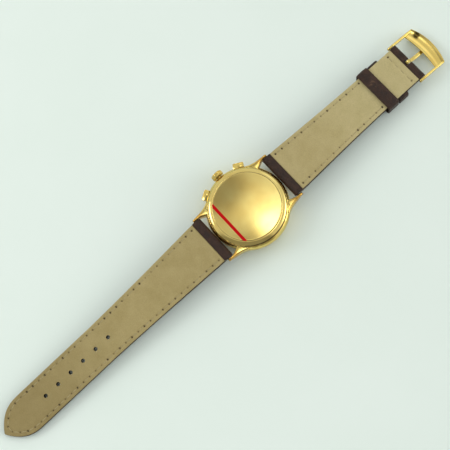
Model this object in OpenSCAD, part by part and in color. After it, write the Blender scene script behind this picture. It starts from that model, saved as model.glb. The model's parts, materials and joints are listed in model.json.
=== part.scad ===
// Chronograph wristwatch on a leather strap, lying face down with its case back up.
// All sizes in millimetres. The origin is on the case axis, at the flat outer face of the crystal.
// +Z runs out of the case back, +Y runs to the 12 o'clock lugs and the buckle, the crown is at -X.

/* [Movement] */
// Diameter of the main plate
movement_d = 26.5; // [26.3:0.1:28.5]
// Thickness of the main plate
plate_t = 1.2; // [1:0.05:1.6]
// Room between dial and main plate for the motion works
under_dial_h = 0.8; // [0.75:0.05:1.2]
// Room between main plate and train bridge for the going train
train_h = 1.55; // [1.5:0.05:2]
// Thickness of the train bridge
bridge_t = 0.55; // [0.45:0.05:0.8]
// Room between train bridge and case back for the chronograph works
chrono_h = 1.6; // [1.55:0.05:2.2]
// Thickness of the train wheels
wheel_t = 0.2; // [0.12:0.02:0.22]
// Distance of the two sub-dial centres from the case axis
subdial_off = 6.6; // [6.4:0.05:6.7]
// Radius of the balance wheel
balance_r = 3.3; // [2.6:0.1:3.4]
// Radial clearance of turning parts
run_gap = 0.03; // [0.02:0.005:0.04]

/* [Dial and hands] */
// Thickness of the dial
dial_t = 0.4; // [0.3:0.05:0.6]
// Room between crystal and dial for the hands
hand_room = 2; // [1.9:0.05:2.6]
// Length of the hour hand from the case axis
hour_hand_l = 7.6; // [6:0.2:9]
// Length of the minute hand from the case axis
minute_hand_l = 11; // [9:0.2:12.4]
// Length of the chronograph seconds hand
seconds_hand_l = 12.4; // [10:0.2:13]
// Radius of a sub-dial recess
subdial_r = 3.9; // [3:0.1:4.2]
// Length of a sub-dial hand
sub_hand_l = 3.2; // [2:0.1:3.6]
// Length of an hour marker
marker_l = 1.7; // [1:0.1:2]

/* [Case] */
// Wall of the movement ring
ring_wall = 1.35; // [1.1:0.05:2]
// Wall of the case middle at its widest
case_wall = 2.55; // [2.4:0.05:3.2]
// How much the case band draws in towards the bezel
band_draw = 0.8; // [0.4:0.05:1]
// How much the case band draws in towards the case back
band_draw_back = 1.1; // [0.6:0.05:1.2]
// Thickness of the crystal
crystal_t = 1.3; // [1:0.1:1.8]
// Thickness of the case back
back_t = 0.65; // [0.5:0.05:0.9]
// Rise of the domed disc of the case back
back_dome = 0.45; // [0.2:0.05:0.8]
// Diameter of the domed disc
back_disc_d = 28.2; // [25:0.1:28.6]
// Width of the red line across the case back
stripe_w = 1.25; // [0.5:0.05:2]
// Distance of the red line from the case axis
stripe_off = 10; // [6:0.5:11.5]

/* [Crown and pushers] */
// Diameter of the crown
crown_d = 5; // [4:0.1:5.2]
// Length of the crown
crown_l = 2.1; // [1.6:0.1:3]
// Number of flutes round the crown
crown_flutes = 26; // [18:1:32]
// Gap between crown and case
crown_gap = 0.33; // [0.25:0.01:0.6]
// Width of a pusher cap along the case
pusher_w = 4.5; // [3.5:0.1:4.8]
// Height of a pusher cap
pusher_h = 2; // [1.8:0.1:2.8]
// Stroke of a pusher
pusher_stroke = 0.8; // [0.5:0.05:0.9]
// How far a pusher cap stands out past the case
pusher_out = 1.85; // [1.2:0.05:2.6]
// Angle from the crown to each pusher
pusher_angle = 30; // [28:0.5:33]

/* [Lugs and spring bars] */
// Gap between a pair of lugs
lug_gap = 20.5; // [20.1:0.1:21]
// Width of a lug at its tip
lug_tip_w = 1.05; // [1:0.05:1.6]
// Radius of a lug's tip round the spring bar
lug_tip_r = 1.15; // [0.9:0.05:1.5]
// Distance of the spring bars past the case edge
bar_out = 1.7; // [1.65:0.05:2.4]
// Radius of a spring bar's tube
bar_r = 0.75; // [0.6:0.05:0.8]
// Radius of a spring bar's end pin
bar_pin_r = 0.4; // [0.3:0.05:0.45]

/* [Strap] */
// Width at the lugs
strap_w_lug = 20.1; // [18:0.1:20.1]
// Width of the long half at its holes
strap_w_long = 16.7; // [15:0.1:17]
// Width of the short half at the buckle
strap_w_short = 17.4; // [16:0.1:17.4]
// Length of the long half from spring bar to tip
long_l = 115.1; // [105:0.1:125]
// Length of the short half from spring bar to buckle bar
short_l = 69.8; // [66:0.1:80]
// Thickness at the lugs
strap_t_lug = 3.3; // [2.8:0.1:3.4]
// Thickness of the long half at its holes
strap_t_long = 2; // [1.8:0.1:2.4]
// Thickness of the short half at the keepers
strap_t_short = 2.6; // [2.5:0.1:2.8]
// Thickness of the lining
lining_t = 0.9; // [0.6:0.05:1]
// Number of holes
hole_n = 6; // [3:1:8]
// Diameter of a hole
hole_d = 1.7; // [1.6:0.1:2.2]
// Distance between holes
hole_pitch = 6.9; // [5:0.1:7.5]
// Distance of the first hole from the tip
hole_first = 22.8; // [18:0.1:28]
// Length of the pointed tip
tip_l = 14.3; // [10:0.5:17]

/* [Keepers] */
// Inside width of the keepers
keeper_in_w = 18.1; // [18:0.1:18.6]
// Thickness of the keeper leather
keeper_t = 0.8; // [0.6:0.05:1]
// Room in a keeper for the tail of the long half
keeper_room = 2.5; // [2.3:0.1:3.2]
// Width of the fixed keeper along the strap
fixed_keeper_l = 5; // [4:0.1:6]
// Width of the free keeper along the strap
free_keeper_l = 5.7; // [4:0.1:7]
// Middle of the fixed keeper from the buckle bar
fixed_keeper_y = 11.1; // [9:0.1:13]
// Gap between the two keepers
keeper_gap = 0.5; // [0.1:0.1:2]

/* [Buckle] */
// Inside width of the frame
buckle_in_w = 17.8; // [17.7:0.1:19]
// Play between an arm and the strap end inside the frame
buckle_play = 0.14; // [0.1:0.01:0.15]
// Width of an arm
buckle_arm_w = 0.95; // [0.8:0.05:1.5]
// Length of an arm behind the buckle bar
arm_tail = 2.3; // [1.3:0.1:3]
// Distance from the buckle bar to the outer edge of the front bar
buckle_l = 13.5; // [12.5:0.1:15]
// Width of the front bar
front_bar_w = 5.8; // [4:0.1:6]
// Bow of the front bar in plan
front_bow = 2; // [0.3:0.1:2.4]
// Thickness of the front bar
front_bar_t = 0.8; // [0.6:0.05:1.1]
// Radius of the buckle bar
buckle_bar_r = 0.75; // [0.6:0.05:0.8]
// Width of the tongue
tongue_w = 1.45; // [1:0.05:1.5]
// Thickness of the tongue
tongue_t = 0.9; // [0.6:0.05:1.1]

/* [Hidden] */
$fn = 48;
e = 0.02;
strap_gap = 0.05;
press_gap = 0.1;
step_gap = 0.05;

// Heights through the watch
z_dial = crystal_t + hand_room;
z_dial_back = z_dial + dial_t;
z_plate = z_dial_back + under_dial_h;
z_train = z_plate + plate_t;
z_bridge = z_train + train_h;
z_chrono = z_bridge + bridge_t;
z_back_in = z_chrono + chrono_h;
z_back = z_back_in + back_t;
z_back_top = z_back + back_dome;
z_seat_front = crystal_t + 1.3;
z_seat_back = z_chrono + 0.4;
z_stem = z_train + 0.3;
z_push = z_train + 0.7;
z_bar = z_seat_back - 1;
z_wide = (z_seat_front + z_seat_back) / 2;
z_ring_top = z_bridge + step_gap;

// Radii through the case
movement_r = movement_d / 2;
ring_in_r = movement_r + 0.05;
ring_r = ring_in_r + ring_wall;
bore_r = ring_r + 0.05;
case_r = bore_r + case_wall;
crystal_r = bore_r - 0.2;
gasket_w = 0.3;
bezel_in_r = crystal_r + gasket_w;
neck_r = bore_r + 0.65;
bezel_r = case_r - band_draw - 0.05;
dial_r = bore_r - 0.3;
flange_r = bore_r - 0.25;
flange_in_r = dial_r - 1;
spigot_r = bore_r - 0.1;
spigot_w = 0.45;
counterbore_r = bore_r + 0.5;
back_disc_r = back_disc_d / 2;
back_rim_r = bore_r + 1.25;

// Going train: teeth, modules and places
m_barrel = 0.13;
m_center = 0.1;
m_third = 0.09;
m_fourth = 0.08;
m_motion = 0.15;
m_hour = 0.144;
m_wind = 0.15;
a_barrel = m_barrel * (78 + 12) / 2;
a_center = m_center * (80 + 10) / 2;
a_third = m_third * (75 + 10) / 2;
a_fourth = m_fourth * (80 + 8) / 2;
a_motion = m_motion * (12 + 36) / 2;
p_barrel = polar(a_barrel, 240);
p_fourth = [subdial_off, 0];
p_counter = [-subdial_off, 0];
p_third = meet([0, 0], a_center, p_fourth, a_third, 1);
p_escape = p_fourth + polar(a_fourth, -60);
p_balance = polar(movement_r - balance_r - 0.35, -54.3);
p_pallet = p_escape + (p_balance - p_escape) * 0.49;
p_minute = [0, a_motion];
p_cock_foot = [1.2, -movement_r + 2.25];
escape_r = 1.9;

// Winding train
stem_r = 0.5;
wind_pinion_r = m_wind * 12 / 2;
wind_x = -10.88;
wind_pinion_l = 1.2;
p_crown_wheel = [-8.75, 0];
p_transfer = meet(p_crown_wheel, m_wind * 43 / 2, p_barrel, m_wind * 61 / 2, -1);
stem_end_x = -7.95;
groove_x = -8.45;

// Levels of the going train
z_center_wheel = z_train + 0.1;
z_barrel = z_center_wheel + wheel_t + 0.08;
z_third_wheel = z_train + 0.6;
z_fourth_wheel = z_train + 1;
z_winding = z_bridge - 0.3;
winding_t = 0.25;
barrel_top = z_winding - 0.1;
z_escape_wheel = z_train + 0.25;
z_balance = z_train + 0.8;

// Radii of the parts on the case axis
chrono_arbor_r = 0.2;
center_bore_r = chrono_arbor_r + run_gap;
center_tube_r = 0.4;
cannon_bore_r = center_tube_r + run_gap;
cannon_r = 0.64;
hour_bore_r = cannon_r + run_gap;
hour_pipe_r = 0.93;
arbor_r = 0.22;
pivot_r = 0.12;

// Chronograph works
chrono_wheel_r = 3.6;
counter_wheel_r = 2.4;
z_counter_wheel = z_chrono + 0.2;
z_chrono_wheel = z_chrono + 0.5;
z_heart = z_chrono + 0.75;
z_chrono_bridge = z_chrono + 1;
chrono_bridge_t = 0.3;
p_chrono_foot_a = [3.4, -3.7];
p_chrono_foot_b = [-3.4, 3.9];
p_column = [-2.5, 8.5];
push_tip_r = movement_r - 0.55;
tab_r = push_tip_r - 0.4;
tab_t = 0.5;
p_lever = polar(movement_r - 2.25, 125);
p_tab = polar(tab_r, 180 - pusher_angle);

// Pusher pockets in the case
pocket_r = bore_r + 1.2;
cap_in_r = pocket_r + pusher_stroke + press_gap;
cap_out_r = case_r + pusher_out;

// Lugs and bars
bar_y = case_r + bar_out;
strap_end_r = 1.75;
lug_x = lug_gap / 2;
lug_hole_l = 0.7;

// Rest slopes: the long tip and the keepers touch the table
long_slope = asin((z_bar - strap_t_long / 2) / long_l);
keeper_low = strap_t_short / 2 + keeper_room + keeper_t;
fixed_mid_y = short_l - fixed_keeper_y;
short_slope = asin((z_bar - keeper_low) / (fixed_mid_y + fixed_keeper_l / 2));
free_keeper_y = fixed_mid_y - fixed_keeper_l / 2 - keeper_gap - free_keeper_l / 2;
lining_start = 2.3;
lining_stop = short_l - 2;
buckle_end_r = 1.35;
arm_end_r = 1.25;
arm_tail_r = 1.05;
slot_w = tongue_w + 0.7;
taper_long = 58;
taper_short = 45;

// Buckle places
buckle_bar_z = z_bar - short_l * sin(short_slope);
front_mid_y = buckle_l - front_bow / 2 - front_bar_w / 2;
front_low = -0.9;
tongue_low = front_low - step_gap - tongue_t;
tongue_tip_y = buckle_l - 0.6;
buckle_dip = asin((buckle_bar_z + tongue_low - 0.1) / (tongue_tip_y + 0.4));
buckle_out_w = buckle_in_w + 2 * buckle_arm_w;

function polar(r, a) = [r * cos(a), r * sin(a)];
function heading(p, q) = atan2(q[1] - p[1], q[0] - p[0]);
// Point at distance a from p and b from q, on the chosen side of the line from p to q
function meet(p, a, q, b, side) =
    let (d = norm(q - p), u = (q - p) / d, x = (a * a - b * b + d * d) / (2 * d))
    p + u * x + [-u[1], u[0]] * side * sqrt(a * a - x * x);
// Turn of a gear so that it meshes with a driving gear seen from it at the given heading
function mesh_turn(dir, turn, n, n2) = dir + 180 + (180 - (turn - dir) * n) / n2;
// Tooth outline points: root, flank, tip
function tooth_points(n, m) =
    let (r = n * m / 2, a = 0.61 * m / r * 180 / PI)
    [for (i = [0 : n - 1], k = [[-1.2, -1.08], [0, -1], [0.9, -0.36], [0.9, 0.36], [0, 1], [-1.2, 1.08]])
        polar(r + k[0] * m, i * 360 / n + k[1] * a)];
function strap_half(y, w_end, run) =
    let (s = min(max((y - 5) / run, 0), 1))
    (w_end + (strap_w_lug - w_end) * pow(1 - s, 1.4)) / 2;
function tip_half(s) = strap_w_long / 2 * pow(1 - pow(s, 2.6), 0.92);
function strap_t(y, t_end, run) =
    strap_t_lug + (t_end - strap_t_lug) * min(max((y - 3) / run, 0), 1);
function dome_z(r) = z_back + back_dome * (1 - r * r / (back_disc_r * back_disc_r));

// Turns that put the trains in mesh
t_center_pinion = 7;
t_barrel = mesh_turn(240, t_center_pinion, 12, 78);
t_third_pinion = mesh_turn(heading([0, 0], p_third), 0, 80, 10);
t_fourth_pinion = mesh_turn(heading(p_third, p_fourth), 0, 75, 10);
t_escape_pinion = mesh_turn(-60, 0, 80, 8);
t_minute_wheel = mesh_turn(90, 0, 12, 36);
t_hour_wheel = mesh_turn(-90, 0, 10, 40);
t_crown_wheel = 180 + 180 / 22;
t_transfer = mesh_turn(heading(p_crown_wheel, p_transfer), t_crown_wheel, 22, 21);
t_ratchet = mesh_turn(heading(p_transfer, p_barrel), t_transfer, 21, 40);

// Basic shapes

module disc(r, z0, z1) {
    translate([0, 0, z0]) cylinder(r = r, h = z1 - z0);
}

module tube(r_out, r_in, z0, z1) {
    translate([0, 0, z0]) linear_extrude(z1 - z0) difference() {
        circle(r = r_out);
        circle(r = r_in);
    }
}

module at(p) {
    translate([p[0], p[1], 0]) children();
}

module slab(z0, z1) {
    translate([0, 0, z0]) linear_extrude(z1 - z0) children();
}

// Flat bar between two points, with round ends
module link(p, q, w) {
    translate(p) circle(d = w * 1.04);
    translate(q) circle(d = w * 1.04);
    translate(p) rotate(heading(p, q)) translate([0, -w / 2]) square([norm(q - p), w]);
}

module gear_face(n, m, turn) {
    rotate(turn) polygon(tooth_points(n, m));
}

// Wheel with a thin toothed rim, arms and a hub
module wheel_face(n, m, turn, hub_r, arms, bore) {
    rim_r = n * m / 2 - 3.2 * m;
    difference() {
        union() {
            difference() {
                gear_face(n, m, turn);
                circle(r = rim_r);
            }
            circle(r = hub_r);
            for (i = [0 : arms - 1])
                rotate(turn + i * 360 / arms) translate([0, -hub_r * 0.35]) square([rim_r + m, hub_r * 0.7]);
        }
        if (bore > 0) circle(r = bore);
    }
}

// Spiral ribbon
module spiral_face(r0, r1, turns, w, steps) {
    n = turns * steps;
    outer = [for (i = [0 : n]) polar(r0 + (r1 - r0) * i / n + w / 2, i * 360 / steps)];
    inner = [for (i = [0 : n]) polar(r0 + (r1 - r0) * (n - i) / n - w / 2, (n - i) * 360 / steps)];
    polygon(concat(outer, inner));
}

// Puts a part built along +Z onto the case side, pointing outwards at an angle from the crown
module at_side(angle, z) {
    translate([0, 0, z]) rotate([0, 0, angle]) rotate([0, -90, 0]) children();
}

// Case

module lug_plan() {
    // Outer edge in a hollow curve from the tip to the band
    a = [lug_x + lug_tip_w, bar_y + lug_tip_r];
    b = [lug_x + lug_tip_w + 0.15, bar_y - 5.4];
    c = polar(case_r - 0.1, 39);
    flare = [for (i = [0 : 8]) let (s = i / 8) a * (1 - s) * (1 - s) + b * 2 * s * (1 - s) + c * s * s];
    inner = [[lug_x - 1.6, 8], [lug_x - 1.6, case_r * 0.79], [lug_x - 0.35, bar_y - strap_end_r - 1],
        [lug_x, bar_y - strap_end_r], [lug_x, bar_y + lug_tip_r]];
    polygon(concat(inner, flare, [[case_r * 0.75, 8]]));
}

module lug_side() {
    // Under edge swept from the case band up to the tip
    a = [12, z_wide - 2.1];
    b = [bar_y - 1.6, z_wide - 1.9];
    c = [bar_y + 0.25, z_bar - lug_tip_r + 0.02];
    sweep = [for (i = [0 : 8]) let (s = i / 8) a * (1 - s) * (1 - s) + b * 2 * s * (1 - s) + c * s * s];
    polygon(concat([[8, z_seat_back - 0.4], [8, z_wide - 2.1]], sweep,
        [[bar_y, z_bar], [bar_y, z_bar + lug_tip_r - 0.03]]));
    translate([bar_y, z_bar]) circle(r = lug_tip_r);
}

module lug() {
    intersection() {
        slab(z_seat_front, z_seat_back + 2) lug_plan();
        translate([lug_x - 2, 0, 0]) rotate([90, 0, 90]) linear_extrude(9) lug_side();
    }
}

module case_middle() {
    h = (z_seat_back - z_seat_front) / 2;
    front = [for (i = [0 : 8]) let (u = 1 - i / 8) [case_r - band_draw * pow(u, 2.6), z_wide - h * u]];
    back = [for (i = [1 : 10]) let (u = i / 10) [case_r - band_draw_back * pow(u, 3.2), z_wide + h * u]];
    band = concat(front, back);
    color("goldenrod") difference() {
        union() {
            difference() {
                union() {
                    rotate_extrude() polygon(concat(
                        [[bore_r, z_seat_back], [bore_r, crystal_t + 0.25], [neck_r, crystal_t + 0.25],
                            [neck_r, z_seat_front]], band));
                    for (mx = [0, 1], my = [0, 1]) mirror([mx, 0, 0]) mirror([0, my, 0]) lug();
                }
                disc(bore_r, 0, z_seat_back + 3);
                for (s = [-1, 1]) translate([-lug_x, s * bar_y, z_bar]) rotate([0, 90, 0])
                    cylinder(r = strap_end_r + 0.2, h = lug_gap);
            }
        }
        disc(counterbore_r, z_seat_back - 0.4, z_seat_back + 3);
        for (s = [-1, 1]) translate([-lug_x - lug_hole_l, s * bar_y, z_bar]) rotate([0, 90, 0])
            cylinder(r = bar_pin_r + 0.05, h = lug_gap + 2 * lug_hole_l);
        at_side(0, z_stem) translate([0, 0, bore_r - 1]) cylinder(r = 0.96, h = 6);
        for (s = [-1, 1]) at_side(s * pusher_angle, z_push) {
            translate([0, 0, bore_r - 1]) cylinder(r = 0.91, h = 6);
            translate([-pusher_h / 2 - press_gap, -pusher_w / 2 - press_gap, pocket_r])
                cube([4 + pusher_h, pusher_w + 2 * press_gap, 6]);
        }
    }
}

module bezel() {
    z0 = crystal_t - 0.75;
    color("goldenrod") rotate_extrude() polygon([[bezel_in_r, z0], [bezel_in_r + 0.5, z0 - 0.1],
        [bezel_r - 0.75, z0 + 0.35], [bezel_r - 0.25, z0 + 0.9], [bezel_r, z0 + 1.5],
        [bezel_r - 0.05, z_seat_front],
        [neck_r + 0.02, z_seat_front], [neck_r + 0.02, crystal_t + 0.2], [bezel_in_r, crystal_t + 0.2]]);
}

module crystal() {
    color("white", 0.3) rotate_extrude() polygon([[0, 0], [crystal_r - 0.5, 0], [crystal_r, 0.4],
        [crystal_r, crystal_t], [0, crystal_t]]);
}

module crystal_gasket() {
    color("white") tube(bezel_in_r - 0.01, crystal_r + 0.01, crystal_t - 0.7, crystal_t);
}

module flange_ring() {
    color("silver") rotate_extrude() polygon([[flange_r, crystal_t], [flange_r, z_dial], [flange_in_r, z_dial],
        [flange_r - 0.35, crystal_t]]);
}

module case_back() {
    rim = [for (i = [0 : 8]) let (a = i * 90 / 8)
        [back_disc_r + 0.25 + (back_rim_r - back_disc_r - 0.25) * cos(a),
            z_seat_back + 0.25 + (z_back - 0.1 - z_seat_back - 0.25) * sin(a)]];
    dome = [for (i = [0 : 10]) let (r = back_disc_r * (1 - i / 10)) [r, dome_z(r)]];
    color("goldenrod") difference() {
        rotate_extrude() polygon(concat(
            [[0, z_back_in], [movement_r - 2.5, z_back_in], [spigot_r - spigot_w, z_seat_back + 0.7],
                [spigot_r - spigot_w, z_ring_top], [spigot_r, z_ring_top], [spigot_r, z_seat_back],
                [back_rim_r - 0.2, z_seat_back]],
            rim, [[back_disc_r, z_back - 0.1]], dome));
        rotate(-75) translate([back_rim_r - 0.8, -0.9, z_seat_back - 1]) cube([3, 1.8, 1.45]);
    }
}

module back_gasket() {
    color("black") tube(counterbore_r - 0.02, spigot_r + 0.02, z_seat_back - 0.4, z_seat_back);
}

module back_film_stripe() {
    skin = [for (i = [0 : 10]) let (r = back_disc_r * (1 - i / 10)) [r, dome_z(r) + 0.005]];
    skin_top = [for (i = [0 : 10]) let (r = back_disc_r * i / 10) [r, dome_z(r) + 0.065]];
    color("red") intersection() {
        rotate_extrude() polygon(concat(skin, skin_top));
        translate([-back_disc_r - 1, -stripe_off - stripe_w / 2, z_back - 1])
            cube([2 * back_disc_r + 2, stripe_w, 3]);
    }
}

module case_tubes() {
    color("goldenrod") {
        at_side(0, z_stem) tube(0.95, stem_r + 0.13, bore_r + 0.02, case_r + crown_gap - 0.05);
        for (s = [-1, 1]) at_side(s * pusher_angle, z_push)
            tube(0.9, stem_r + run_gap, bore_r + 0.02, pocket_r + 0.02);
    }
}

module movement_ring() {
    color("silver") difference() {
        union() {
            tube(ring_r, ring_in_r, z_plate, z_ring_top);
            tube(ring_r, movement_r - 0.8, z_dial_back, z_plate);
        }
        at_side(0, z_stem) translate([0, 0, movement_r - 1]) cylinder(r = stem_r + 0.2, h = 4);
        for (s = [-1, 1]) at_side(s * pusher_angle, z_push)
            translate([0, 0, movement_r - 1]) cylinder(r = stem_r + 0.2, h = 4);
    }
}

module spring_bars() {
    color("silver") for (s = [-1, 1]) translate([0, s * bar_y, z_bar]) rotate([0, 90, 0]) {
        translate([0, 0, -lug_x + 0.1]) cylinder(r = bar_r, h = lug_gap - 0.2);
        translate([0, 0, -lug_x - lug_hole_l + 0.1])
            cylinder(r = bar_pin_r, h = lug_gap + 2 * lug_hole_l - 0.2);
    }
}

// Dial and hands

module dial() {
    color("ivory") difference() {
        union() {
            disc(dial_r, z_dial, z_dial_back);
            for (a = [35, 215]) at(polar(movement_r - 2, a)) disc(0.4, z_dial_back - e, z_plate + 0.7);
        }
        disc(hour_pipe_r + 0.1, 0, z_plate);
        for (s = [-1, 1]) at([s * subdial_off, 0]) {
            disc(subdial_r, z_dial - 1, z_dial + 0.1);
            disc(arbor_r + 0.1, 0, z_plate);
        }
    }
}

module hour_markers() {
    color("goldenrod") for (i = [0 : 11]) rotate(i * 30)
        translate([-0.3, flange_in_r - 0.3 - marker_l, z_dial - 0.35]) cube([0.6, marker_l, 0.35]);
}

// Tapered hand with a tail, a round eye and a bore
module hand(l, tail, w, eye_r, bore, z0, turn) {
    z1 = z0 + 0.14;
    rotate(turn) difference() {
        union() {
            slab(z0, z1)
                polygon([[-w / 2, 0], [-w * 0.12, l], [w * 0.12, l], [w / 2, 0], [w * 0.3, -tail],
                    [-w * 0.3, -tail]]);
            disc(eye_r, z0, z1);
        }
        disc(bore, z0 - 1, z1 + 1);
    }
}

module hour_hand() {
    color("goldenrod") hand(hour_hand_l, 1.6, 1.1, 1.3, hour_pipe_r + 0.005, z_dial - 0.5, 305);
}

module minute_hand() {
    color("goldenrod") hand(minute_hand_l, 2, 0.9, 1, cannon_r + 0.005, z_dial - 0.9, 60);
}

module chrono_seconds_hand() {
    color("goldenrod") hand(seconds_hand_l, 3.4, 0.36, 0.6, chrono_arbor_r + 0.005, z_dial - 1.3, 0);
}

module small_seconds_hand() {
    color("goldenrod") at(p_fourth) hand(sub_hand_l, 1, 0.36, 0.5, pivot_r + 0.005, z_dial - 0.2, 205);
}

module minute_counter_hand() {
    color("goldenrod") at(p_counter) hand(sub_hand_l, 1, 0.36, 0.5, pivot_r + 0.005, z_dial - 0.2, 0);
}

// Plates and bridges

module main_plate() {
    color("silver") difference() {
        union() {
            difference() {
                disc(movement_r, z_plate, z_train);
                disc(center_tube_r + run_gap, 0, z_chrono);
                for (p = [p_third, p_escape, p_balance]) at(p) disc(pivot_r + run_gap, 0, z_chrono);
                for (p = [p_fourth, p_counter]) at(p) disc(arbor_r + run_gap, 0, z_chrono);
                at(p_barrel) disc(0.5 + run_gap, 0, z_chrono);
                for (a = [35, 215]) at(polar(movement_r - 2, a)) disc(0.42, 0, z_chrono);
                // Seat of the stem and its pinion
                translate([-movement_r - 1, -stem_r - 0.1, z_plate + 0.25])
                    cube([movement_r + 1 + stem_end_x + 0.15, 2 * stem_r + 0.2, 4]);
                translate([wind_x - wind_pinion_l / 2 - 0.1, -1.25, z_plate + 0.25])
                    cube([wind_pinion_l + 0.2, 2.5, 4]);
            }
            at(p_minute) disc(arbor_r, z_dial_back + 0.1, z_plate + e);
            at(p_pallet) disc(pivot_r, z_train - e, z_escape_wheel + wheel_t + 0.1);
        }
    }
}

module train_bridge() {
    color("silver") difference() {
        union() {
            disc(movement_r - 0.05, z_bridge, z_chrono);
            tube(movement_r - 0.05, movement_r - 0.85, z_train, z_bridge + e);
        }
        disc(center_tube_r + run_gap, 0, z_chrono + 2);
        for (p = [p_third, p_fourth, p_escape]) at(p) disc(pivot_r + run_gap, z_train, z_chrono + 1);
        for (p = [p_crown_wheel, p_transfer]) at(p) disc(0.3 + run_gap, z_train, z_chrono + 1);
        at(p_counter) disc(arbor_r + run_gap, z_train, z_chrono + 1);
        at(p_barrel) disc(0.5 + run_gap, z_train, z_chrono + 1);
        at(p_column) disc(0.4 + run_gap, z_train, z_chrono + 1);
        at(p_balance) disc(balance_r + 0.3, 0, z_chrono + 1);
        slab(0, z_chrono + 1) {
            link(p_balance, p_cock_foot, 2.9);
            translate(p_cock_foot) circle(r = 1.6);
        }
        // Ways for the stem and for the lever tabs
        translate([-movement_r - 1, -1.4, z_train - 1]) cube([2.5, 2.8, z_bridge - z_train + 1]);
        for (s = [-1, 1]) rotate(180 + s * pusher_angle)
            translate([movement_r - 2.6, -1.5, 0]) cube([4, 3, z_chrono + 1]);
        for (p = screw_places()) at(p) disc(0.33, z_chrono - 0.4, z_chrono + 1);
        for (p = [p_lever, [p_lever[0], -p_lever[1]]]) at(p) disc(0.4 + run_gap, z_train, z_chrono + 1);
    }
}

function screw_places() = [for (a = [25, 62, 92, 250]) polar(movement_r - 0.95, a)];

module balance_cock() {
    color("silver") difference() {
        union() {
            slab(z_bridge, z_chrono) {
                link(p_balance, p_cock_foot, 2.5);
                translate(p_cock_foot) circle(r = 1.45);
            }
            at(p_cock_foot) disc(1.2, z_train, z_bridge + e);
        }
        at(p_balance) disc(pivot_r + run_gap, z_train, z_chrono + 1);
        at(p_cock_foot) disc(0.33, z_chrono - 0.4, z_chrono + 1);
    }
}

module chronograph_bridge() {
    top = z_chrono_bridge + chrono_bridge_t;
    color("silver") difference() {
        union() {
            slab(z_chrono_bridge, top) {
                link(p_chrono_foot_a, p_chrono_foot_b, 1.5);
                link([0, 0], p_counter, 1.5);
            }
            for (p = [p_chrono_foot_a, p_chrono_foot_b]) at(p) disc(0.7, z_chrono, z_chrono_bridge + e);
        }
        disc(pivot_r + run_gap, z_chrono, top + 1);
        at(p_counter) disc(pivot_r + run_gap, z_chrono, top + 1);
        for (p = [p_chrono_foot_a, p_chrono_foot_b]) at(p) disc(0.33, top - 0.4, top + 1);
    }
}

// Slotted screw, its head on a face at height z
module screw(z) {
    difference() {
        union() {
            disc(0.55, z, z + 0.2);
            disc(0.32, z - 0.35, z + e);
        }
        translate([-1, -0.07, z + 0.1]) cube([2, 0.14, 1]);
    }
}

module movement_screws() {
    color("steelblue") {
        for (p = screw_places()) at(p) screw(z_chrono);
        at(p_cock_foot) screw(z_chrono);
        for (p = [p_chrono_foot_a, p_chrono_foot_b]) at(p) screw(z_chrono_bridge + chrono_bridge_t);
    }
}

// Winding

module crown() {
    x0 = case_r + crown_gap;
    x1 = x0 + crown_l;
    r = crown_d / 2;
    color("goldenrod") at_side(0, z_stem) difference() {
        rotate_extrude() polygon([[stem_r, x0 + 0.9], [1.15, x0 + 0.9], [1.15, x0], [r - 0.2, x0],
            [r, x0 + 0.2], [r, x1 - 0.35], [r - 0.35, x1 - 0.05], [r - 0.8, x1], [0, x1 + 0.1], [0, x1 - 0.4],
            [stem_r, x1 - 0.4]]);
        for (i = [0 : crown_flutes - 1]) rotate(i * 360 / crown_flutes)
            translate([r + 0.08, 0, x0 - 1]) cylinder(r = 0.2, h = crown_l + 0.7);
    }
}

module winding_stem() {
    tip = case_r + crown_gap + crown_l - 0.42;
    color("silver") at_side(0, z_stem) rotate_extrude() polygon([[0, -stem_end_x], [stem_r - 0.02, -stem_end_x],
        [stem_r - 0.02, -groove_x - 0.25], [0.28, -groove_x - 0.25], [0.28, -groove_x + 0.25],
        [stem_r - 0.02, -groove_x + 0.25], [stem_r - 0.02, tip], [0, tip]]);
}

module setting_lever() {
    color("silver") difference() {
        union() {
            translate([groove_x - 0.4, 0.75, z_train + 0.05]) cube([0.85, 2.3, 0.5]);
            translate([groove_x - 0.2, 0.33, z_train + 0.15]) cube([0.4, 0.6, 0.3]);
        }
        at([groove_x, 2.6]) disc(0.2, 0, z_bridge);
    }
}

module winding_pinion() {
    x0 = -wind_x - wind_pinion_l / 2;
    color("silver") at_side(0, z_stem) slab(x0, x0 + wind_pinion_l) difference() {
        gear_face(12, m_wind, 0);
        circle(r = stem_r + run_gap);
    }
}

// Winding wheel turning on a pivot in the train bridge
module winding_wheel(p, n, turn) {
    at(p) {
        slab(z_winding, z_winding + winding_t) gear_face(n, m_wind, turn);
        disc(0.3, z_winding, z_chrono - 0.05);
    }
}

module crown_wheel() {
    color("silver") winding_wheel(p_crown_wheel, 22, t_crown_wheel);
}

module transmission_wheel() {
    color("silver") winding_wheel(p_transfer, 21, t_transfer);
}

module ratchet_wheel() {
    color("silver") at(p_barrel) slab(z_winding, z_winding + winding_t) difference() {
        gear_face(40, m_wind, t_ratchet);
        square(1.2, center = true);
    }
}

module barrel_arbor() {
    color("silver") at(p_barrel) difference() {
        union() {
            disc(0.5, z_plate + 0.2, z_barrel - 0.05);
            disc(0.9, z_barrel + 0.2 + step_gap, barrel_top - 0.02);
            disc(0.6, z_barrel - 0.05 - e, z_barrel + 0.2 + step_gap + e);
            slab(barrel_top - 0.04, z_winding + winding_t) square(1.17, center = true);
            disc(0.5, z_winding + winding_t - e, z_chrono - 0.05);
        }
        translate([0.75, -0.2, z_barrel + 0.3]) cube([1, 0.1, 2]);
    }
}

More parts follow.
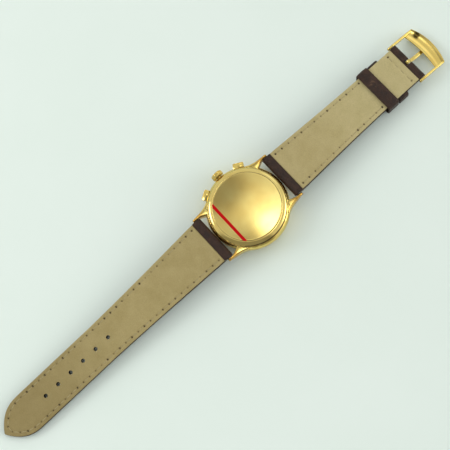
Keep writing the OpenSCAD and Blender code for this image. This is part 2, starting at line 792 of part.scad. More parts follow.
module barrel() {
    r = m_barrel * 78 / 2;
    color("goldenrod") at(p_barrel) {
        slab(z_barrel, z_barrel + 0.2) difference() {
            gear_face(78, m_barrel, t_barrel);
            circle(r = 0.6 + run_gap);
        }
        tube(r - 0.35, r - 0.6, z_barrel + 0.2 - e, barrel_top);
    }
}

module mainspring() {
    r = m_barrel * 78 / 2;
    color("steelblue") at(p_barrel) slab(z_barrel + 0.25, barrel_top - 0.05)
        spiral_face(1.15, r - 0.8, 6, 0.2, 20);
}

// Going train

// Arbor with a pivot at each end
module arbor(p, z0, z1) {
    at(p) {
        disc(arbor_r, z0 + 0.05, z1 - 0.05);
        disc(pivot_r, z0 - 0.4, z1 + 0.4);
    }
}

module center_wheel() {
    color("goldenrod") difference() {
        union() {
            slab(z_center_wheel, z_center_wheel + wheel_t) wheel_face(80, m_center, 0, 1, 5, 0);
            slab(z_barrel - 0.04, barrel_top) gear_face(12, m_barrel, t_center_pinion);
            disc(0.55, z_center_wheel, z_barrel);
            disc(center_tube_r, z_dial - 0.2, z_chrono - 0.05);
        }
        disc(center_bore_r, 0, z_back);
    }
}

module third_wheel() {
    color("goldenrod") {
        arbor(p_third, z_train, z_bridge);
        at(p_third) slab(z_train + 0.06, z_third_wheel) gear_face(10, m_center, t_third_pinion);
        at(p_third) slab(z_third_wheel - e, z_third_wheel + wheel_t) wheel_face(75, m_third, 0, 0.8, 4, 0);
    }
}

module fourth_wheel() {
    color("goldenrod") at(p_fourth) {
        disc(arbor_r, z_dial, z_bridge - 0.05);
        disc(pivot_r, z_dial - 0.25, z_bridge + 0.4);
        slab(z_third_wheel - 0.1, z_fourth_wheel) gear_face(10, m_third, t_fourth_pinion);
        slab(z_fourth_wheel - e, z_fourth_wheel + wheel_t) wheel_face(80, m_fourth, 0, 0.7, 4, 0);
    }
}

module escape_wheel() {
    teeth = [for (i = [0 : 14], k = [[0.72, 0], [0.97, 8], [1, 12.5], [0.72, 9]])
        polar(escape_r * k[0], i * 24 + k[1])];
    color("goldenrod") {
        arbor(p_escape, z_train, z_bridge);
        at(p_escape) slab(z_fourth_wheel - 0.1, z_fourth_wheel + wheel_t + 0.05)
            gear_face(8, m_fourth, t_escape_pinion);
        at(p_escape) slab(z_escape_wheel, z_escape_wheel + 0.15) difference() {
            polygon(teeth);
            for (i = [0 : 3]) rotate(i * 90 + 45) translate([escape_r * 0.42, 0]) circle(r = 0.38);
        }
    }
}

module pallet_fork() {
    dir = heading(p_pallet, p_balance);
    d = norm(p_balance - p_pallet);
    reach = norm(p_pallet - p_escape);
    color("goldenrod") at(p_pallet) rotate(dir) slab(z_escape_wheel, z_escape_wheel + 0.15) difference() {
        union() {
            circle(r = 0.5);
            translate([0, -0.16]) square([d - 1.1, 0.32]);
            translate([d - 1.45, -0.42]) square([0.5, 0.84]);
            // Arms that hold the two pallets just outside the escape wheel
            for (s = [-1, 1]) {
                link([0, 0], [-0.62, s * 1.55], 0.34);
                translate([-1.05, s * 1.55 - 0.17]) square([0.45, 0.34]);
            }
        }
        circle(r = pivot_r + run_gap);
        translate([d - 1.2, -0.16]) square([0.6, 0.32]);
    }
}

module balance_wheel() {
    color("goldenrod") {
        arbor(p_balance, z_train, z_bridge);
        at(p_balance) slab(z_balance, z_balance + 0.4) difference() {
            circle(r = balance_r);
            circle(r = balance_r - 0.45);
        }
        at(p_balance) slab(z_balance + 0.1, z_balance + 0.3) {
            circle(r = 0.55);
            for (i = [0 : 2]) rotate(i * 120 + 40) translate([0, -0.22]) square([balance_r - 0.3, 0.44]);
        }
        at(p_balance) disc(0.5, z_train + 0.2, z_train + 0.45);
        at(p_balance) rotate(heading(p_balance, p_pallet)) translate([0.36, 0, 0])
            disc(0.1, z_train + 0.15, z_train + 0.3);
    }
}

module hairspring() {
    color("steelblue") at(p_balance) rotate(heading(p_balance, p_cock_foot)) {
        slab(z_bridge - 0.22, z_bridge - 0.08) spiral_face(0.5, 2.1, 6, 0.07, 18);
        translate([2.1, 0, 0]) disc(0.14, z_bridge - 0.22, z_bridge);
    }
}

// Motion works under the dial

module cannon_pinion() {
    color("silver") difference() {
        union() {
            slab(z_plate - 0.4, z_plate - 0.08) gear_face(12, m_motion, 0);
            disc(cannon_r, z_dial - 0.95, z_plate - 0.1);
        }
        disc(cannon_bore_r, 0, z_plate);
    }
}

module minute_wheel() {
    color("goldenrod") at(p_minute) difference() {
        union() {
            slab(z_plate - 0.34, z_plate - 0.14) wheel_face(36, m_motion, t_minute_wheel, 1, 4, 0);
            slab(z_dial_back + 0.08, z_plate - 0.34 + e) gear_face(10, m_hour, 0);
        }
        disc(arbor_r + run_gap, 0, z_plate + 1);
    }
}

module hour_wheel() {
    color("goldenrod") difference() {
        union() {
            slab(z_dial_back + 0.1, z_dial_back + 0.3) wheel_face(40, m_hour, t_hour_wheel, 1.4, 4, 0);
            disc(hour_pipe_r, z_dial - 0.55, z_dial_back + 0.3);
        }
        disc(hour_bore_r, 0, z_plate);
    }
}

// Chronograph works

// Heart-shaped cam that brings a hand back to zero
module heart(r_low, r_high) {
    polygon([for (i = [0 : 35]) let (a = i * 10 - 180) polar(r_high - (r_high - r_low) * abs(a) / 180, a)]);
}

module chronograph_wheel() {
    color("goldenrod") {
        slab(z_chrono_wheel, z_chrono_wheel + wheel_t) wheel_face(100, chrono_wheel_r / 51, 0, 0.9, 5, 0);
        slab(z_heart, z_heart + 0.2) heart(0.35, 0.95);
        disc(center_tube_r, z_chrono + 0.1, z_heart + e);
        disc(chrono_arbor_r, z_dial - 1.35, z_chrono_bridge - 0.05);
        disc(pivot_r, z_dial, z_chrono_bridge + chrono_bridge_t);
    }
}

module minute_counter_wheel() {
    teeth = [for (i = [0 : 29], k = [[0.88, 0], [1, 6], [0.88, 11.9]])
        polar(counter_wheel_r * k[0], i * 12 + k[1])];
    color("goldenrod") at(p_counter) {
        slab(z_counter_wheel, z_counter_wheel + wheel_t) difference() {
            polygon(teeth);
            for (i = [0 : 3]) rotate(i * 90) translate([1.25, 0]) circle(r = 0.5);
        }
        slab(z_heart, z_heart + 0.2) heart(0.32, 0.75);
        disc(0.3, z_chrono + 0.1, z_heart + e);
        disc(arbor_r, z_dial, z_chrono_bridge - 0.05);
        disc(pivot_r, z_dial - 0.25, z_chrono_bridge + chrono_bridge_t);
    }
}

module column_wheel() {
    teeth = [for (i = [0 : 17], k = [[0.78, 0], [1, 15], [0.78, 19.9]]) polar(1.55 * k[0], i * 20 + k[1])];
    color("steelblue") at(p_column) {
        slab(z_chrono + 0.05, z_chrono + 0.3) polygon(teeth);
        for (i = [0 : 5]) rotate(i * 60) translate([0.5, -0.2, z_chrono + 0.3 - e]) cube([0.6, 0.4, 0.5]);
        disc(0.3, z_chrono + 0.2, z_chrono + 0.75);
        disc(0.4, z_bridge + 0.1, z_chrono + 0.1);
    }
}

// Tab bent down in front of a pusher
module lever_tab(z_top) {
    at(p_tab) rotate(180 - pusher_angle)
        translate([-tab_t / 2, -0.7, z_push - 0.55]) cube([tab_t, 1.4, z_top - z_push + 0.55]);
}

module operating_lever() {
    z0 = z_chrono + 0.25;
    color("silver") {
        slab(z0, z0 + 0.25) difference() {
            union() {
                link(p_lever, p_tab, 0.9);
                translate(p_lever) circle(r = 0.8);
                link(p_lever, p_column + polar(2.15, heading(p_column, p_lever)), 0.6);
            }
            translate(p_lever) circle(r = 0.3);
        }
        lever_tab(z0 + 0.25);
        at(p_lever) tube(0.4, 0.3, z_chrono - 0.3, z0 + e);
    }
}

module reset_hammer() {
    z0 = z_heart;
    color("silver") mirror([0, 1, 0]) {
        slab(z0, z0 + 0.2) difference() {
            union() {
                link(p_lever, p_tab, 0.9);
                translate(p_lever) circle(r = 0.8);
                link(p_lever, [-6.9, 3.6], 0.8);
                link([-6.9, 3.6], [-9.2, 1.4], 0.6);
                link([-6.9, 3.6], [-2.8, 1.4], 0.6);
            }
            translate(p_lever) circle(r = 0.3);
        }
        lever_tab(z0 + 0.2);
        at(p_lever) tube(0.4, 0.3, z_chrono - 0.3, z0 + e);
    }
}

module pusher() {
    translate([-pusher_h / 2, -pusher_w / 2, cap_in_r]) {
        cube([pusher_h, pusher_w, cap_out_r - cap_in_r - 0.3]);
        translate([0.25, 0.25, 0]) cube([pusher_h - 0.5, pusher_w - 0.5, cap_out_r - cap_in_r]);
    }
    translate([0, 0, push_tip_r]) cylinder(r = stem_r, h = cap_in_r - push_tip_r + 0.5);
}

module start_pusher() {
    color("goldenrod") at_side(-pusher_angle, z_push) pusher();
}

module reset_pusher() {
    color("goldenrod") at_side(pusher_angle, z_push) pusher();
}

// Strap. Each half is drawn along +Y from its spring bar, with the lining on top.

module place_long() {
    translate([0, -bar_y, z_bar]) rotate([long_slope, 0, 0]) rotate([0, 0, 180]) children();
}

module place_short() {
    translate([0, bar_y, z_bar]) rotate([-short_slope, 0, 0]) children();
}

// Turns an outline drawn in Y and Z into a bar along X
module across(w) {
    translate([-w / 2, 0, 0]) rotate([90, 0, 90]) linear_extrude(w) children();
}

module strap_side(l, t_end, run) {
    h0 = strap_end_r - 0.03;
    h1 = strap_t_lug / 2;
    h2 = t_end / 2;
    polygon([[0, -h0], [3, -h1], [3 + run, -h2], [l, -h2], [l, h2], [3 + run, h2], [3, h1], [0, h0]]);
    circle(r = strap_end_r);
}

// Space of the lining between two places along the strap
module lining_zone(y0, y1, t_end, run) {
    d = lining_t;
    across(40) polygon([[y0, strap_t(y0, t_end, run) / 2 - d], [3 + run, t_end / 2 - d], [y1, t_end / 2 - d],
        [y1, 4], [y0, 4]]);
}

module long_blank() {
    body = [for (i = [0 : 24]) let (y = -3 + i * (long_l - tip_l + 3) / 24)
        [strap_half(y, strap_w_long, taper_long), y]];
    tip = [for (i = [1 : 11]) let (s = sin(i * 7.9)) [tip_half(s), long_l - tip_l + tip_l * s]];
    side = concat(body, tip);
    n = len(side);
    other = [for (i = [0 : n - 1]) [-side[n - 1 - i][0], side[n - 1 - i][1]]];
    difference() {
        intersection() {
            slab(-4, 4) polygon(concat(side, other));
            across(40) strap_side(long_l + 1, strap_t_long, taper_long);
        }
        rotate([0, 90, 0]) translate([0, 0, -20]) cylinder(r = bar_r + strap_gap, h = 40);
        for (i = [0 : hole_n - 1]) at([0, long_l - hole_first - i * hole_pitch]) disc(hole_d / 2, -5, 5);
    }
}

module long_strap() {
    color("saddlebrown") place_long() difference() {
        long_blank();
        lining_zone(lining_start, long_l + 2, strap_t_long, taper_long);
    }
}

module long_strap_lining() {
    color("tan") place_long() intersection() {
        long_blank();
        lining_zone(lining_start, long_l + 2, strap_t_long, taper_long);
    }
}

module short_blank() {
    body = [for (i = [0 : 18]) let (y = -3 + i * (short_l + 6) / 18)
        [strap_half(y, strap_w_short, taper_short), y]];
    n = len(body);
    other = [for (i = [0 : n - 1]) [-body[n - 1 - i][0], body[n - 1 - i][1]]];
    difference() {
        intersection() {
            slab(-4, 4) polygon(concat(body, other));
            across(40) {
                strap_side(short_l, strap_t_short, taper_short);
                translate([short_l, 0]) circle(r = buckle_end_r);
            }
        }
        rotate([0, 90, 0]) translate([0, 0, -20]) cylinder(r = bar_r + strap_gap, h = 40);
        translate([-20, short_l, 0]) rotate([0, 90, 0]) cylinder(r = buckle_bar_r + strap_gap, h = 40);
        translate([-slot_w / 2, short_l - 2.2, -4]) cube([slot_w, 6, 8]);
        // Sides cut back where the arms of the frame would touch
        for (s = [-1, 1]) translate([s * (buckle_in_w / 2 - buckle_play + 5), short_l, 0])
            cube([10, 2 * arm_tail + 0.8, 8], center = true);
    }
}

module keeper_run_zone() {
    z1 = strap_t_short / 2 - lining_t;
    translate([-20, fixed_mid_y - fixed_keeper_l / 2, z1 - keeper_t])
        cube([40, fixed_keeper_l, keeper_t + e]);
}

module short_strap() {
    color("saddlebrown") place_short() difference() {
        short_blank();
        lining_zone(lining_start, lining_stop, strap_t_short, taper_short);
        keeper_run_zone();
    }
}

module short_strap_lining() {
    color("tan") place_short() intersection() {
        short_blank();
        lining_zone(lining_start, lining_stop, strap_t_short, taper_short);
    }
}

// Keepers

// Rounded rectangle
module round_box(w, z0, z1, r) {
    x = w / 2 - r;
    corner = [[x, z1 - r, 0], [-x, z1 - r, 90], [-x, z0 + r, 180], [x, z0 + r, 270]];
    polygon([for (c = corner, k = [0 : 4]) [c[0], c[1]] + polar(r, c[2] + k * 22.5)]);
}

// Loop of leather, l long, round a space from z0 to z1
module keeper(z0, z1, l) {
    rotate([90, 0, 0]) translate([0, 0, -l / 2]) linear_extrude(l) difference() {
        round_box(keeper_in_w + 2 * keeper_t, z0 - keeper_t, z1 + keeper_t, 1.1);
        round_box(keeper_in_w, z0, z1, 0.2);
    }
}

module fixed_keeper() {
    z1 = strap_t_short / 2 - lining_t - keeper_t;
    color("saddlebrown") place_short() translate([0, fixed_mid_y, 0])
        keeper(-strap_t_short / 2 - keeper_room, z1, fixed_keeper_l);
}

module free_keeper() {
    color("saddlebrown") place_short() translate([0, free_keeper_y, 0])
        keeper(-strap_t_short / 2 - keeper_room, strap_t_short / 2 + 0.15, free_keeper_l);
}

// Buckle, drawn along +Y from its bar

module place_buckle() {
    place_short() translate([0, short_l, 0]) rotate([short_slope - buckle_dip, 0, 0]) children();
}

module front_bar_plan() {
    hw = buckle_out_w / 2;
    inner = [for (i = [0 : 12]) let (s = i / 6 - 1)
        [hw * s, buckle_l - front_bar_w - front_bow * 0.5 * s * s]];
    outer = [for (i = [0 : 12]) let (s = 1 - i / 6) [hw * s, buckle_l - front_bow * s * s]];
    polygon(concat(inner, outer));
}

// Crescent section of the front bar: round outside, hollow on the wrist side
module front_bar_side() {
    h = front_bar_w / 2 + 1;
    low = [for (i = [0 : 10]) let (s = i / 5 - 1) [front_mid_y + h * s, front_low + 1.5 * s * s]];
    high = [for (i = [0 : 10]) let (s = 1 - i / 5)
        [front_mid_y + h * s, front_low + front_bar_t + 1.15 * s * s]];
    polygon(concat(low, high));
}

module buckle_arm() {
    translate([buckle_in_w / 2, 0, 0]) rotate([90, 0, 90]) linear_extrude(buckle_arm_w) {
        circle(r = arm_end_r);
        translate([arm_tail_r - arm_tail, 0]) circle(r = arm_tail_r);
        polygon([[arm_tail_r - arm_tail, -arm_tail_r + 0.02], [0, -1.2], [front_mid_y - 1, -0.75],
            [front_mid_y + 1.2, -0.6], [front_mid_y + 1.2, 0.5], [front_mid_y - 2, 0.85], [0, 1.2],
            [arm_tail_r - arm_tail, arm_tail_r - 0.02]]);
    }
}

module buckle_frame() {
    color("goldenrod") place_buckle() difference() {
        union() {
            intersection() {
                slab(-4, 4) front_bar_plan();
                across(buckle_out_w) front_bar_side();
            }
            buckle_arm();
            mirror([1, 0, 0]) buckle_arm();
        }
        translate([-buckle_in_w / 2 - 0.6, 0, 0]) rotate([0, 90, 0]) cylinder(r = 0.45, h = buckle_in_w + 1.2);
    }
}

module buckle_bar() {
    color("silver") place_buckle() rotate([0, 90, 0]) {
        translate([0, 0, -buckle_in_w / 2 + 0.05]) cylinder(r = buckle_bar_r, h = buckle_in_w - 0.1);
        translate([0, 0, -buckle_in_w / 2 - 0.5]) cylinder(r = 0.44, h = buckle_in_w + 1);
    }
}

module buckle_tongue() {
    low = tongue_low;
    top = low + tongue_t;
    color("goldenrod") place_buckle() difference() {
        across(tongue_w) {
            circle(r = 1.3);
            polygon([[0.3, -1.25], [2.6, low + 0.35], [5, low], [tongue_tip_y, low],
                [tongue_tip_y + 0.4, low + 0.3], [tongue_tip_y + 0.2, top], [5.2, top], [3, top + 0.4],
                [1.1, 0.3]]);
        }
        translate([-5, 0, 0]) rotate([0, 90, 0]) cylinder(r = buckle_bar_r + strap_gap, h = 10);
    }
}

case_middle();
bezel();
crystal();
crystal_gasket();
flange_ring();
case_back();
back_gasket();
back_film_stripe();
case_tubes();
movement_ring();
dial();
hour_markers();
main_plate();
train_bridge();
balance_cock();
chronograph_bridge();
movement_screws();
spring_bars();
crown();
winding_stem();
setting_lever();
winding_pinion();
crown_wheel();
transmission_wheel();
ratchet_wheel();
barrel_arbor();
barrel();
mainspring();
center_wheel();
third_wheel();
fourth_wheel();
escape_wheel();
pallet_fork();
balance_wheel();
hairspring();
cannon_pinion();
minute_wheel();
hour_wheel();
hour_hand();
minute_hand();
chrono_seconds_hand();
small_seconds_hand();
minute_counter_hand();
chronograph_wheel();
minute_counter_wheel();
column_wheel();
operating_lever();
reset_hammer();
start_pusher();
reset_pusher();
long_strap();
long_strap_lining();
short_strap();
short_strap_lining();
fixed_keeper();
free_keeper();
buckle_frame();
buckle_tongue();
buckle_bar();
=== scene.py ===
# %% [markdown]
# # A gold-plated chronograph on a brown leather strap
# The watch lies face down, so the camera sees its case back, the lining of both strap halves and the
# inside of the buckle. CAD gives every working part its place and size. This lesson gives the watch
# its looks: polished gold, leather, lining, thread and light.

# %% Load the frame
import json
from math import asin, cos, pi, radians, sin, sqrt, tau

import bpy
import numpy as np
from mathutils import Matrix, Vector, kdtree


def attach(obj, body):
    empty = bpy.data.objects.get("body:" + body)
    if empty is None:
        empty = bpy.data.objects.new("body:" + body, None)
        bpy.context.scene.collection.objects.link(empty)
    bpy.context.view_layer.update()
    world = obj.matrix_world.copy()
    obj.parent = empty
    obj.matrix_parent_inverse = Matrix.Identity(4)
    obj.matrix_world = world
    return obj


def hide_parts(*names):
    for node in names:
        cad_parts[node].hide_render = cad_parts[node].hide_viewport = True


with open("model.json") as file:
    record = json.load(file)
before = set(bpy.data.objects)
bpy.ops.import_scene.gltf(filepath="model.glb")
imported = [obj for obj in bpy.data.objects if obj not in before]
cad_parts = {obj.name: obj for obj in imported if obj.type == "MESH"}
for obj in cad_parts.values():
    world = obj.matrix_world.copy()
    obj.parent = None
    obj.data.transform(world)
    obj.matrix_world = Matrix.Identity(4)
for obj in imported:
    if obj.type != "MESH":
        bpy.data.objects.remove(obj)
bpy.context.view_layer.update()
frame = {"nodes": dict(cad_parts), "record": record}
bpy.ops.object.select_all(action="DESELECT")
MM = 0.001
print("CAD nodes:", len(frame["nodes"]))

# %% [markdown]
# ## Camera
# The picture was taken from almost straight above with a long lens. The camera's place was worked out
# from points that can be told on both the picture and the watch: the strap holes, the ends of the red
# line, the strap corners, the keepers and the buckle. They don't settle the distance, so half a metre is
# assumed. A turn about its own axis (roll) sets the strap on its diagonal.

# %% Camera
IMAGE_PX = 450
FOCAL_PX = 1234.4
SENSOR = 36.0
AIM = Vector((-1.487, -11.378, 5.0)) * MM
AZIMUTH, ELEVATION, ROLL = (radians(a) for a in (-11.18, 77.705, -31.629))
DISTANCE = 0.5

towards = Vector((cos(ELEVATION) * cos(AZIMUTH),
                  cos(ELEVATION) * sin(AZIMUTH), sin(ELEVATION)))
level = (-towards).cross(Vector((0, 0, 1))).normalized()
upward = level.cross(-towards)
right = level * cos(ROLL) + upward * sin(ROLL)
top = upward * cos(ROLL) - level * sin(ROLL)
camera_data = bpy.data.cameras.new("camera")
camera_data.sensor_width = SENSOR
camera_data.lens = FOCAL_PX / IMAGE_PX * SENSOR
camera = bpy.data.objects.new("camera", camera_data)
bpy.context.scene.collection.objects.link(camera)
camera.matrix_world = Matrix.Translation(AIM + towards * DISTANCE) @ Matrix(
    (right, top, towards)).transposed().to_4x4()
bpy.context.scene.camera = camera
print("lens", round(camera_data.lens, 1), "mm")

# %% [markdown]
# ## Shader helpers
# Colours are written as hex values, as a paint chart gives them, and turned to linear light by one
# function. One more function adds a node, sets it up and links it, so that a material reads like a list.
# The others are short names for the nodes that come again and again.

# %% Shader helpers
def linear(code):
    """An sRGB hex colour as linear RGBA."""
    parts = [int(code[i:i + 2], 16) / 255 for i in (1, 3, 5)]
    return [c / 12.92 if c <= 0.04045 else ((c + 0.055) / 1.055) ** 2.4 for c in parts] + [1.0]


def add(near, kind, settings=None, **inputs):
    """Adds a shader node to the tree of a node or socket, or to a tree itself.

    Inputs are named with _ for a space, or i0, i1 for a place in the list.
    """
    tree = near.id_data
    made = tree.nodes.new("ShaderNode" + kind)
    for key, value in (settings or {}).items():
        setattr(made, key, value)
    for key, value in inputs.items():
        place = int(key[1:]) if key[0] == "i" and key[1:].isdigit() else key.replace("_", " ")
        if isinstance(value, bpy.types.NodeSocket):
            tree.links.new(value, made.inputs[place])
        else:
            made.inputs[place].default_value = linear(value) if isinstance(value, str) else value
    return made


def new_material(name, **constants):
    """A material, its empty Principled shader, and object coordinates in millimetres."""
    material = bpy.data.materials.new(name)
    material.use_nodes = True
    tree = material.node_tree
    tree.nodes.clear()
    shader = add(tree, "BsdfPrincipled", **constants)
    add(tree, "OutputMaterial", Surface=shader.outputs[0])
    place = add(tree, "TexCoord").outputs["Object"]
    in_mm = add(tree, "VectorMath", {"operation": "SCALE"}, i0=place, Scale=1 / MM).outputs[0]
    return material, shader, in_mm


def ramp(factor, low, high, start=0.3, end=0.7):
    """A ramp over a factor, between two hex colours or two greys given as numbers."""
    made = add(factor, "ValToRGB", Fac=factor)
    for element, place, tone in zip(made.color_ramp.elements, (start, end), (low, high)):
        element.position = place
        element.color = linear(tone) if isinstance(tone, str) else (tone, tone, tone, 1.0)
    return made.outputs["Color"]


def calc(operation, *values):
    """The result of a Math node on a socket and further sockets or numbers."""
    places = {f"i{k}": value for k, value in enumerate(values)}
    return add(values[0], "Math", {"operation": operation}, **places).outputs[0]


def mix(factor, first, second):
    """Two colours mixed by a factor."""
    return add(factor, "Mix", {"data_type": "RGBA"}, i0=factor, i6=first, i7=second).outputs[2]


def step_up(value, start, end):
    """A smooth rise from 0 to 1 while a value goes from start to end."""
    return add(value, "MapRange", {"interpolation_type": "SMOOTHSTEP"},
               Value=value, i1=start, i2=end).outputs[0]


def noise(mm, size, detail, roughness=0.5):
    """Noise whose largest features are about a size in mm."""
    return add(mm, "TexNoise", Vector=mm, Scale=1 / size, Detail=detail, Roughness=roughness).outputs["Fac"]


def from_axis(mm):
    """Each point's distance from the case axis, in mm."""
    flat = add(mm, "VectorMath", {"operation": "MULTIPLY"}, i0=mm, i1=(1, 1, 0)).outputs[0]
    return add(mm, "VectorMath", {"operation": "LENGTH"}, i0=flat).outputs["Value"]


def plug(shader, **sources):
    """Links sources to a shader's inputs, which are named with _ for a space."""
    for key, source in sources.items():
        shader.id_data.links.new(source, shader.inputs[key.replace("_", " ")])


def relief(shader, height, strength, depth):
    """A bump on a shader, its depth in mm."""
    bump = add(shader, "Bump", Height=height, Strength=strength, Distance=depth * MM)
    plug(shader, Normal=bump.outputs[0])


# %% [markdown]
# ## Gold plate
# Case, crown and buckle are brass under a thin, warm gold plate, polished on a wheel. A polished metal
# shows little but its surroundings, so what makes it real is small: a slight drift in colour, a haze of
# wiping marks in the roughness, and a faint unevenness left by the wheel. Real wiping marks are about
# 0.02 mm wide. They are drawn at 0.12 to 0.15 mm here, so that they show at all.

# %% Gold plate
PLATE = ("#E5CC78", "#DCBC65")
PLATE_BACK = ("#E5CE80", "#DDC070")
# Rings of painted shade in the turned seams of back and case, as (radius, half width) in mm
BACK_SEAM_SHADE = ((14.02, 0.07), (15.98, 0.08))
CASE_SEAM_SHADE = ((16.06, 0.1),)
# Where along y the lugs take a painted reflection of the brown leather, in mm
LUG_FROM, LUG_TO = 13.5, 17.0
# A painted dark reflection on the buckle's front bar: its middle in mm, and the distances where it begins and
# is full
DARK_REFLECTION_AT, DARK_REFLECTION_EDGE, DARK_REFLECTION_CORE = (-6.4, 99.6, 2.4), 2.6, 1.4


def gold(name, light, dark, sleek, rough, haze_mm, wave_mm, wave_depth):
    """Polished plate: the material, its shader and coordinates, and its clean colour."""
    material, shader, mm = new_material(name, Metallic=1.0)
    clean = ramp(noise(mm, 9, 2), dark, light, 0.35, 0.65)
    haze = noise(mm, haze_mm, 6, 0.7)
    plug(shader, Base_Color=clean, Roughness=ramp(haze, sleek, rough, 0.3, 0.75))
    relief(shader, noise(mm, wave_mm, 1), 1.0, wave_depth)
    return material, shader, mm, clean


def seams(shader, mm, clean, rings):
    """Painted shade in the turned seams: rings of (radius, half width) in mm darken the plate."""
    radius = from_axis(mm)
    for ring_r, half in rings:
        away = calc("ABSOLUTE", calc("SUBTRACT", radius, ring_r))
        # Painted shade: the plate darkens towards the middle of each seam
        clean = mix(step_up(away, half * 1.5, half * 0.8), clean, "#4C3716")
    plug(shader, Base_Color=clean)


gold_polished = gold("gold_plate_polished", *PLATE, 0.08, 0.16, 0.15, 2.2, 0.003)[0]
gold_back, *parts = gold("gold_plate_back", *PLATE_BACK, 0.09, 0.15, 0.12, 4.0, 0.002)
seams(*parts, BACK_SEAM_SHADE)

gold_case, shader, mm, clean = gold("gold_plate_case", *PLATE, 0.08, 0.16, 0.15, 2.2, 0.003)
# Painted reflection of the brown leather: the plate on the lugs is a deeper orange
along = calc("ABSOLUTE", add(mm, "SeparateXYZ", Vector=mm).outputs[1])
painted_leather_reflection = mix(step_up(along, LUG_FROM, LUG_TO), clean, "#D0A351")
seams(shader, mm, painted_leather_reflection, CASE_SEAM_SHADE)

# The buckle's plate carries a painted dark reflection: an oval with a frayed edge on the front bar
gold_buckle, shader, mm, clean = gold("gold_plate_buckle", *PLATE, 0.10, 0.18, 0.15, 2.2, 0.003)
apart = add(mm, "VectorMath", {"operation": "DISTANCE"}, i0=mm, i1=DARK_REFLECTION_AT).outputs["Value"]
frayed = calc("MULTIPLY_ADD", noise(mm, 0.8, 4), 1.2, apart)
painted_reflection = step_up(frayed, DARK_REFLECTION_EDGE, DARK_REFLECTION_CORE)
plug(shader, Base_Color=mix(painted_reflection, clean, "#443819"))
print("gold finishes made")

# %% [markdown]
# ## Other metals, crystal and film
# Inside the case are brushed steel, blued steel and satin brass. The crystal is a clear acrylic, the
# seals are black rubber, and the dial is cream lacquer with a printed minute track. A red line marks the
# pull edge of the thin film that protects the case back.

# %% Other metals
def brushed(name, light, dark, metallic, sleek, rough, line_mm, direction):
    """Satin metal or matt rubber: fine lines, stretched along a direction."""
    material, shader, mm = new_material(name, Metallic=metallic)
    stretched = add(mm, "Mapping", Vector=mm, Scale=direction).outputs[0]
    lines = noise(stretched, line_mm, 4)
    plug(shader, Base_Color=ramp(lines, dark, light),
         Roughness=ramp(lines, sleek, rough))
    relief(shader, lines, 0.6, 0.01)
    return material


steel = brushed("steel_fine_brushed", "#C9CBCC", "#A9ABAD", 1.0, 0.2, 0.38, 0.12, (0.12, 1, 1))
blued_steel = brushed("steel_heat_blued", "#2F4C9C", "#1E2D66", 1.0, 0.15, 0.25, 0.2, (1, 1, 1))
movement_brass = brushed("brass_satin_gilt", "#DDBE7C", "#C5A25C", 1.0, 0.22, 0.36, 0.14, (1, 0.15, 1))
gasket_rubber = brushed("nitrile_rubber_matt", "#232323", "#191919", 0.0, 0.6, 0.75, 0.1, (1, 1, 1))

acrylic, shader, mm = new_material(
    "acrylic_crystal_clear", IOR=1.49, Transmission_Weight=1.0, Base_Color="#FAFCFC")
wipe = noise(mm, 0.6, 5)
plug(shader, Roughness=ramp(wipe, 0.01, 0.06, 0.4, 0.8))

red_film, shader, mm = new_material("pvc_film_red_line", IOR=1.5, Specular_IOR_Level=0.08)
drift = noise(mm, 0.7, 4)
plug(shader, Base_Color=ramp(drift, "#B60508", "#C60C10", 0.3, 0.75),
     Roughness=ramp(drift, 0.35, 0.5))
relief(shader, drift, 0.5, 0.02)
print("steel, brass, rubber, acrylic and film made")

# %% [markdown]
# ## Dial lacquer
# A dial is printed in one colour on cream lacquer. The minute track needs no geometry: a node works out
# each point's distance from the middle and its angle, and draws sixty fine strokes between two rings.

# %% Dial lacquer
TRACK_IN, TRACK_OUT, STROKE, MINUTES = 11.9, 12.6, 0.2, 60
dial_lacquer, shader, mm = new_material("lacquer_cream_printed", IOR=1.5, Roughness=0.45)
radius = from_axis(mm)
axes = add(mm, "SeparateXYZ", Vector=mm)
angle = calc("ARCTAN2", axes.outputs[1], axes.outputs[0])
off = calc("PINGPONG", calc("MULTIPLY", angle, MINUTES / tau), 0.5)
stroke = calc("LESS_THAN", off, STROKE / 2 * MINUTES / tau / TRACK_OUT)
inside = calc("LESS_THAN", radius, TRACK_OUT)
outside = calc("GREATER_THAN", radius, TRACK_IN)
ink = calc("MULTIPLY", calc("MULTIPLY", inside, outside), stroke)
cream = ramp(noise(mm, 0.5, 4), "#E6DCC2", "#EDE5D0")
plug(shader, Base_Color=mix(ink, cream, "#2B2622"))
print("dial lacquer made")

# %% [markdown]
# ## Leather, lining, edge paint and thread
# The outside of the strap is a smooth dark brown calf with a fine pebble, whose pores are about 0.6 mm
# across. The lining is a matt split leather, khaki with darker clouds where it was handled, with a nap
# that is finer still. A painted edge seals the cut sides. The lining carries an attribute, needle, that
# is 1 at each needle place, where the lining is darkened as painted shade in the hole.

# %% Leather and lining
def leather(name, light, dark, pore_mm, depth, sleek, rough):
    """Calf with pores and creases. Its attribute scuff is 1 where the dye is rubbed off the creases."""
    material, shader, mm = new_material(name, IOR=1.5, Specular_IOR_Level=0.3)
    pores = add(mm, "TexVoronoi", Vector=mm, Scale=1 / pore_mm, Randomness=1.0).outputs["Distance"]
    crease = noise(mm, 1.3, 6, 0.7)
    cloud = noise(mm, 2.5, 6, 0.68)
    dyed = ramp(cloud, dark, light, 0.32, 0.7)
    scuff = add(mm, "Attribute", {"attribute_name": "scuff"}).outputs["Fac"]
    bare = calc("MULTIPLY", scuff, ramp(crease, 0, 1, 0.52, 0.66))
    plug(shader, Base_Color=mix(bare, dyed, "#624A37"),
         Roughness=ramp(crease, sleek, rough))
    relief(shader, calc("MULTIPLY_ADD", crease, 2.2, pores), 1.0, depth)
    return material


calf_brown = leather("calf_leather_dark_brown", "#41291C", "#251811", 0.6, 0.16, 0.4, 0.62)
edge_paint = leather("edge_paint_dark_brown", "#2E211A", "#221813", 0.6, 0.03, 0.42, 0.6)


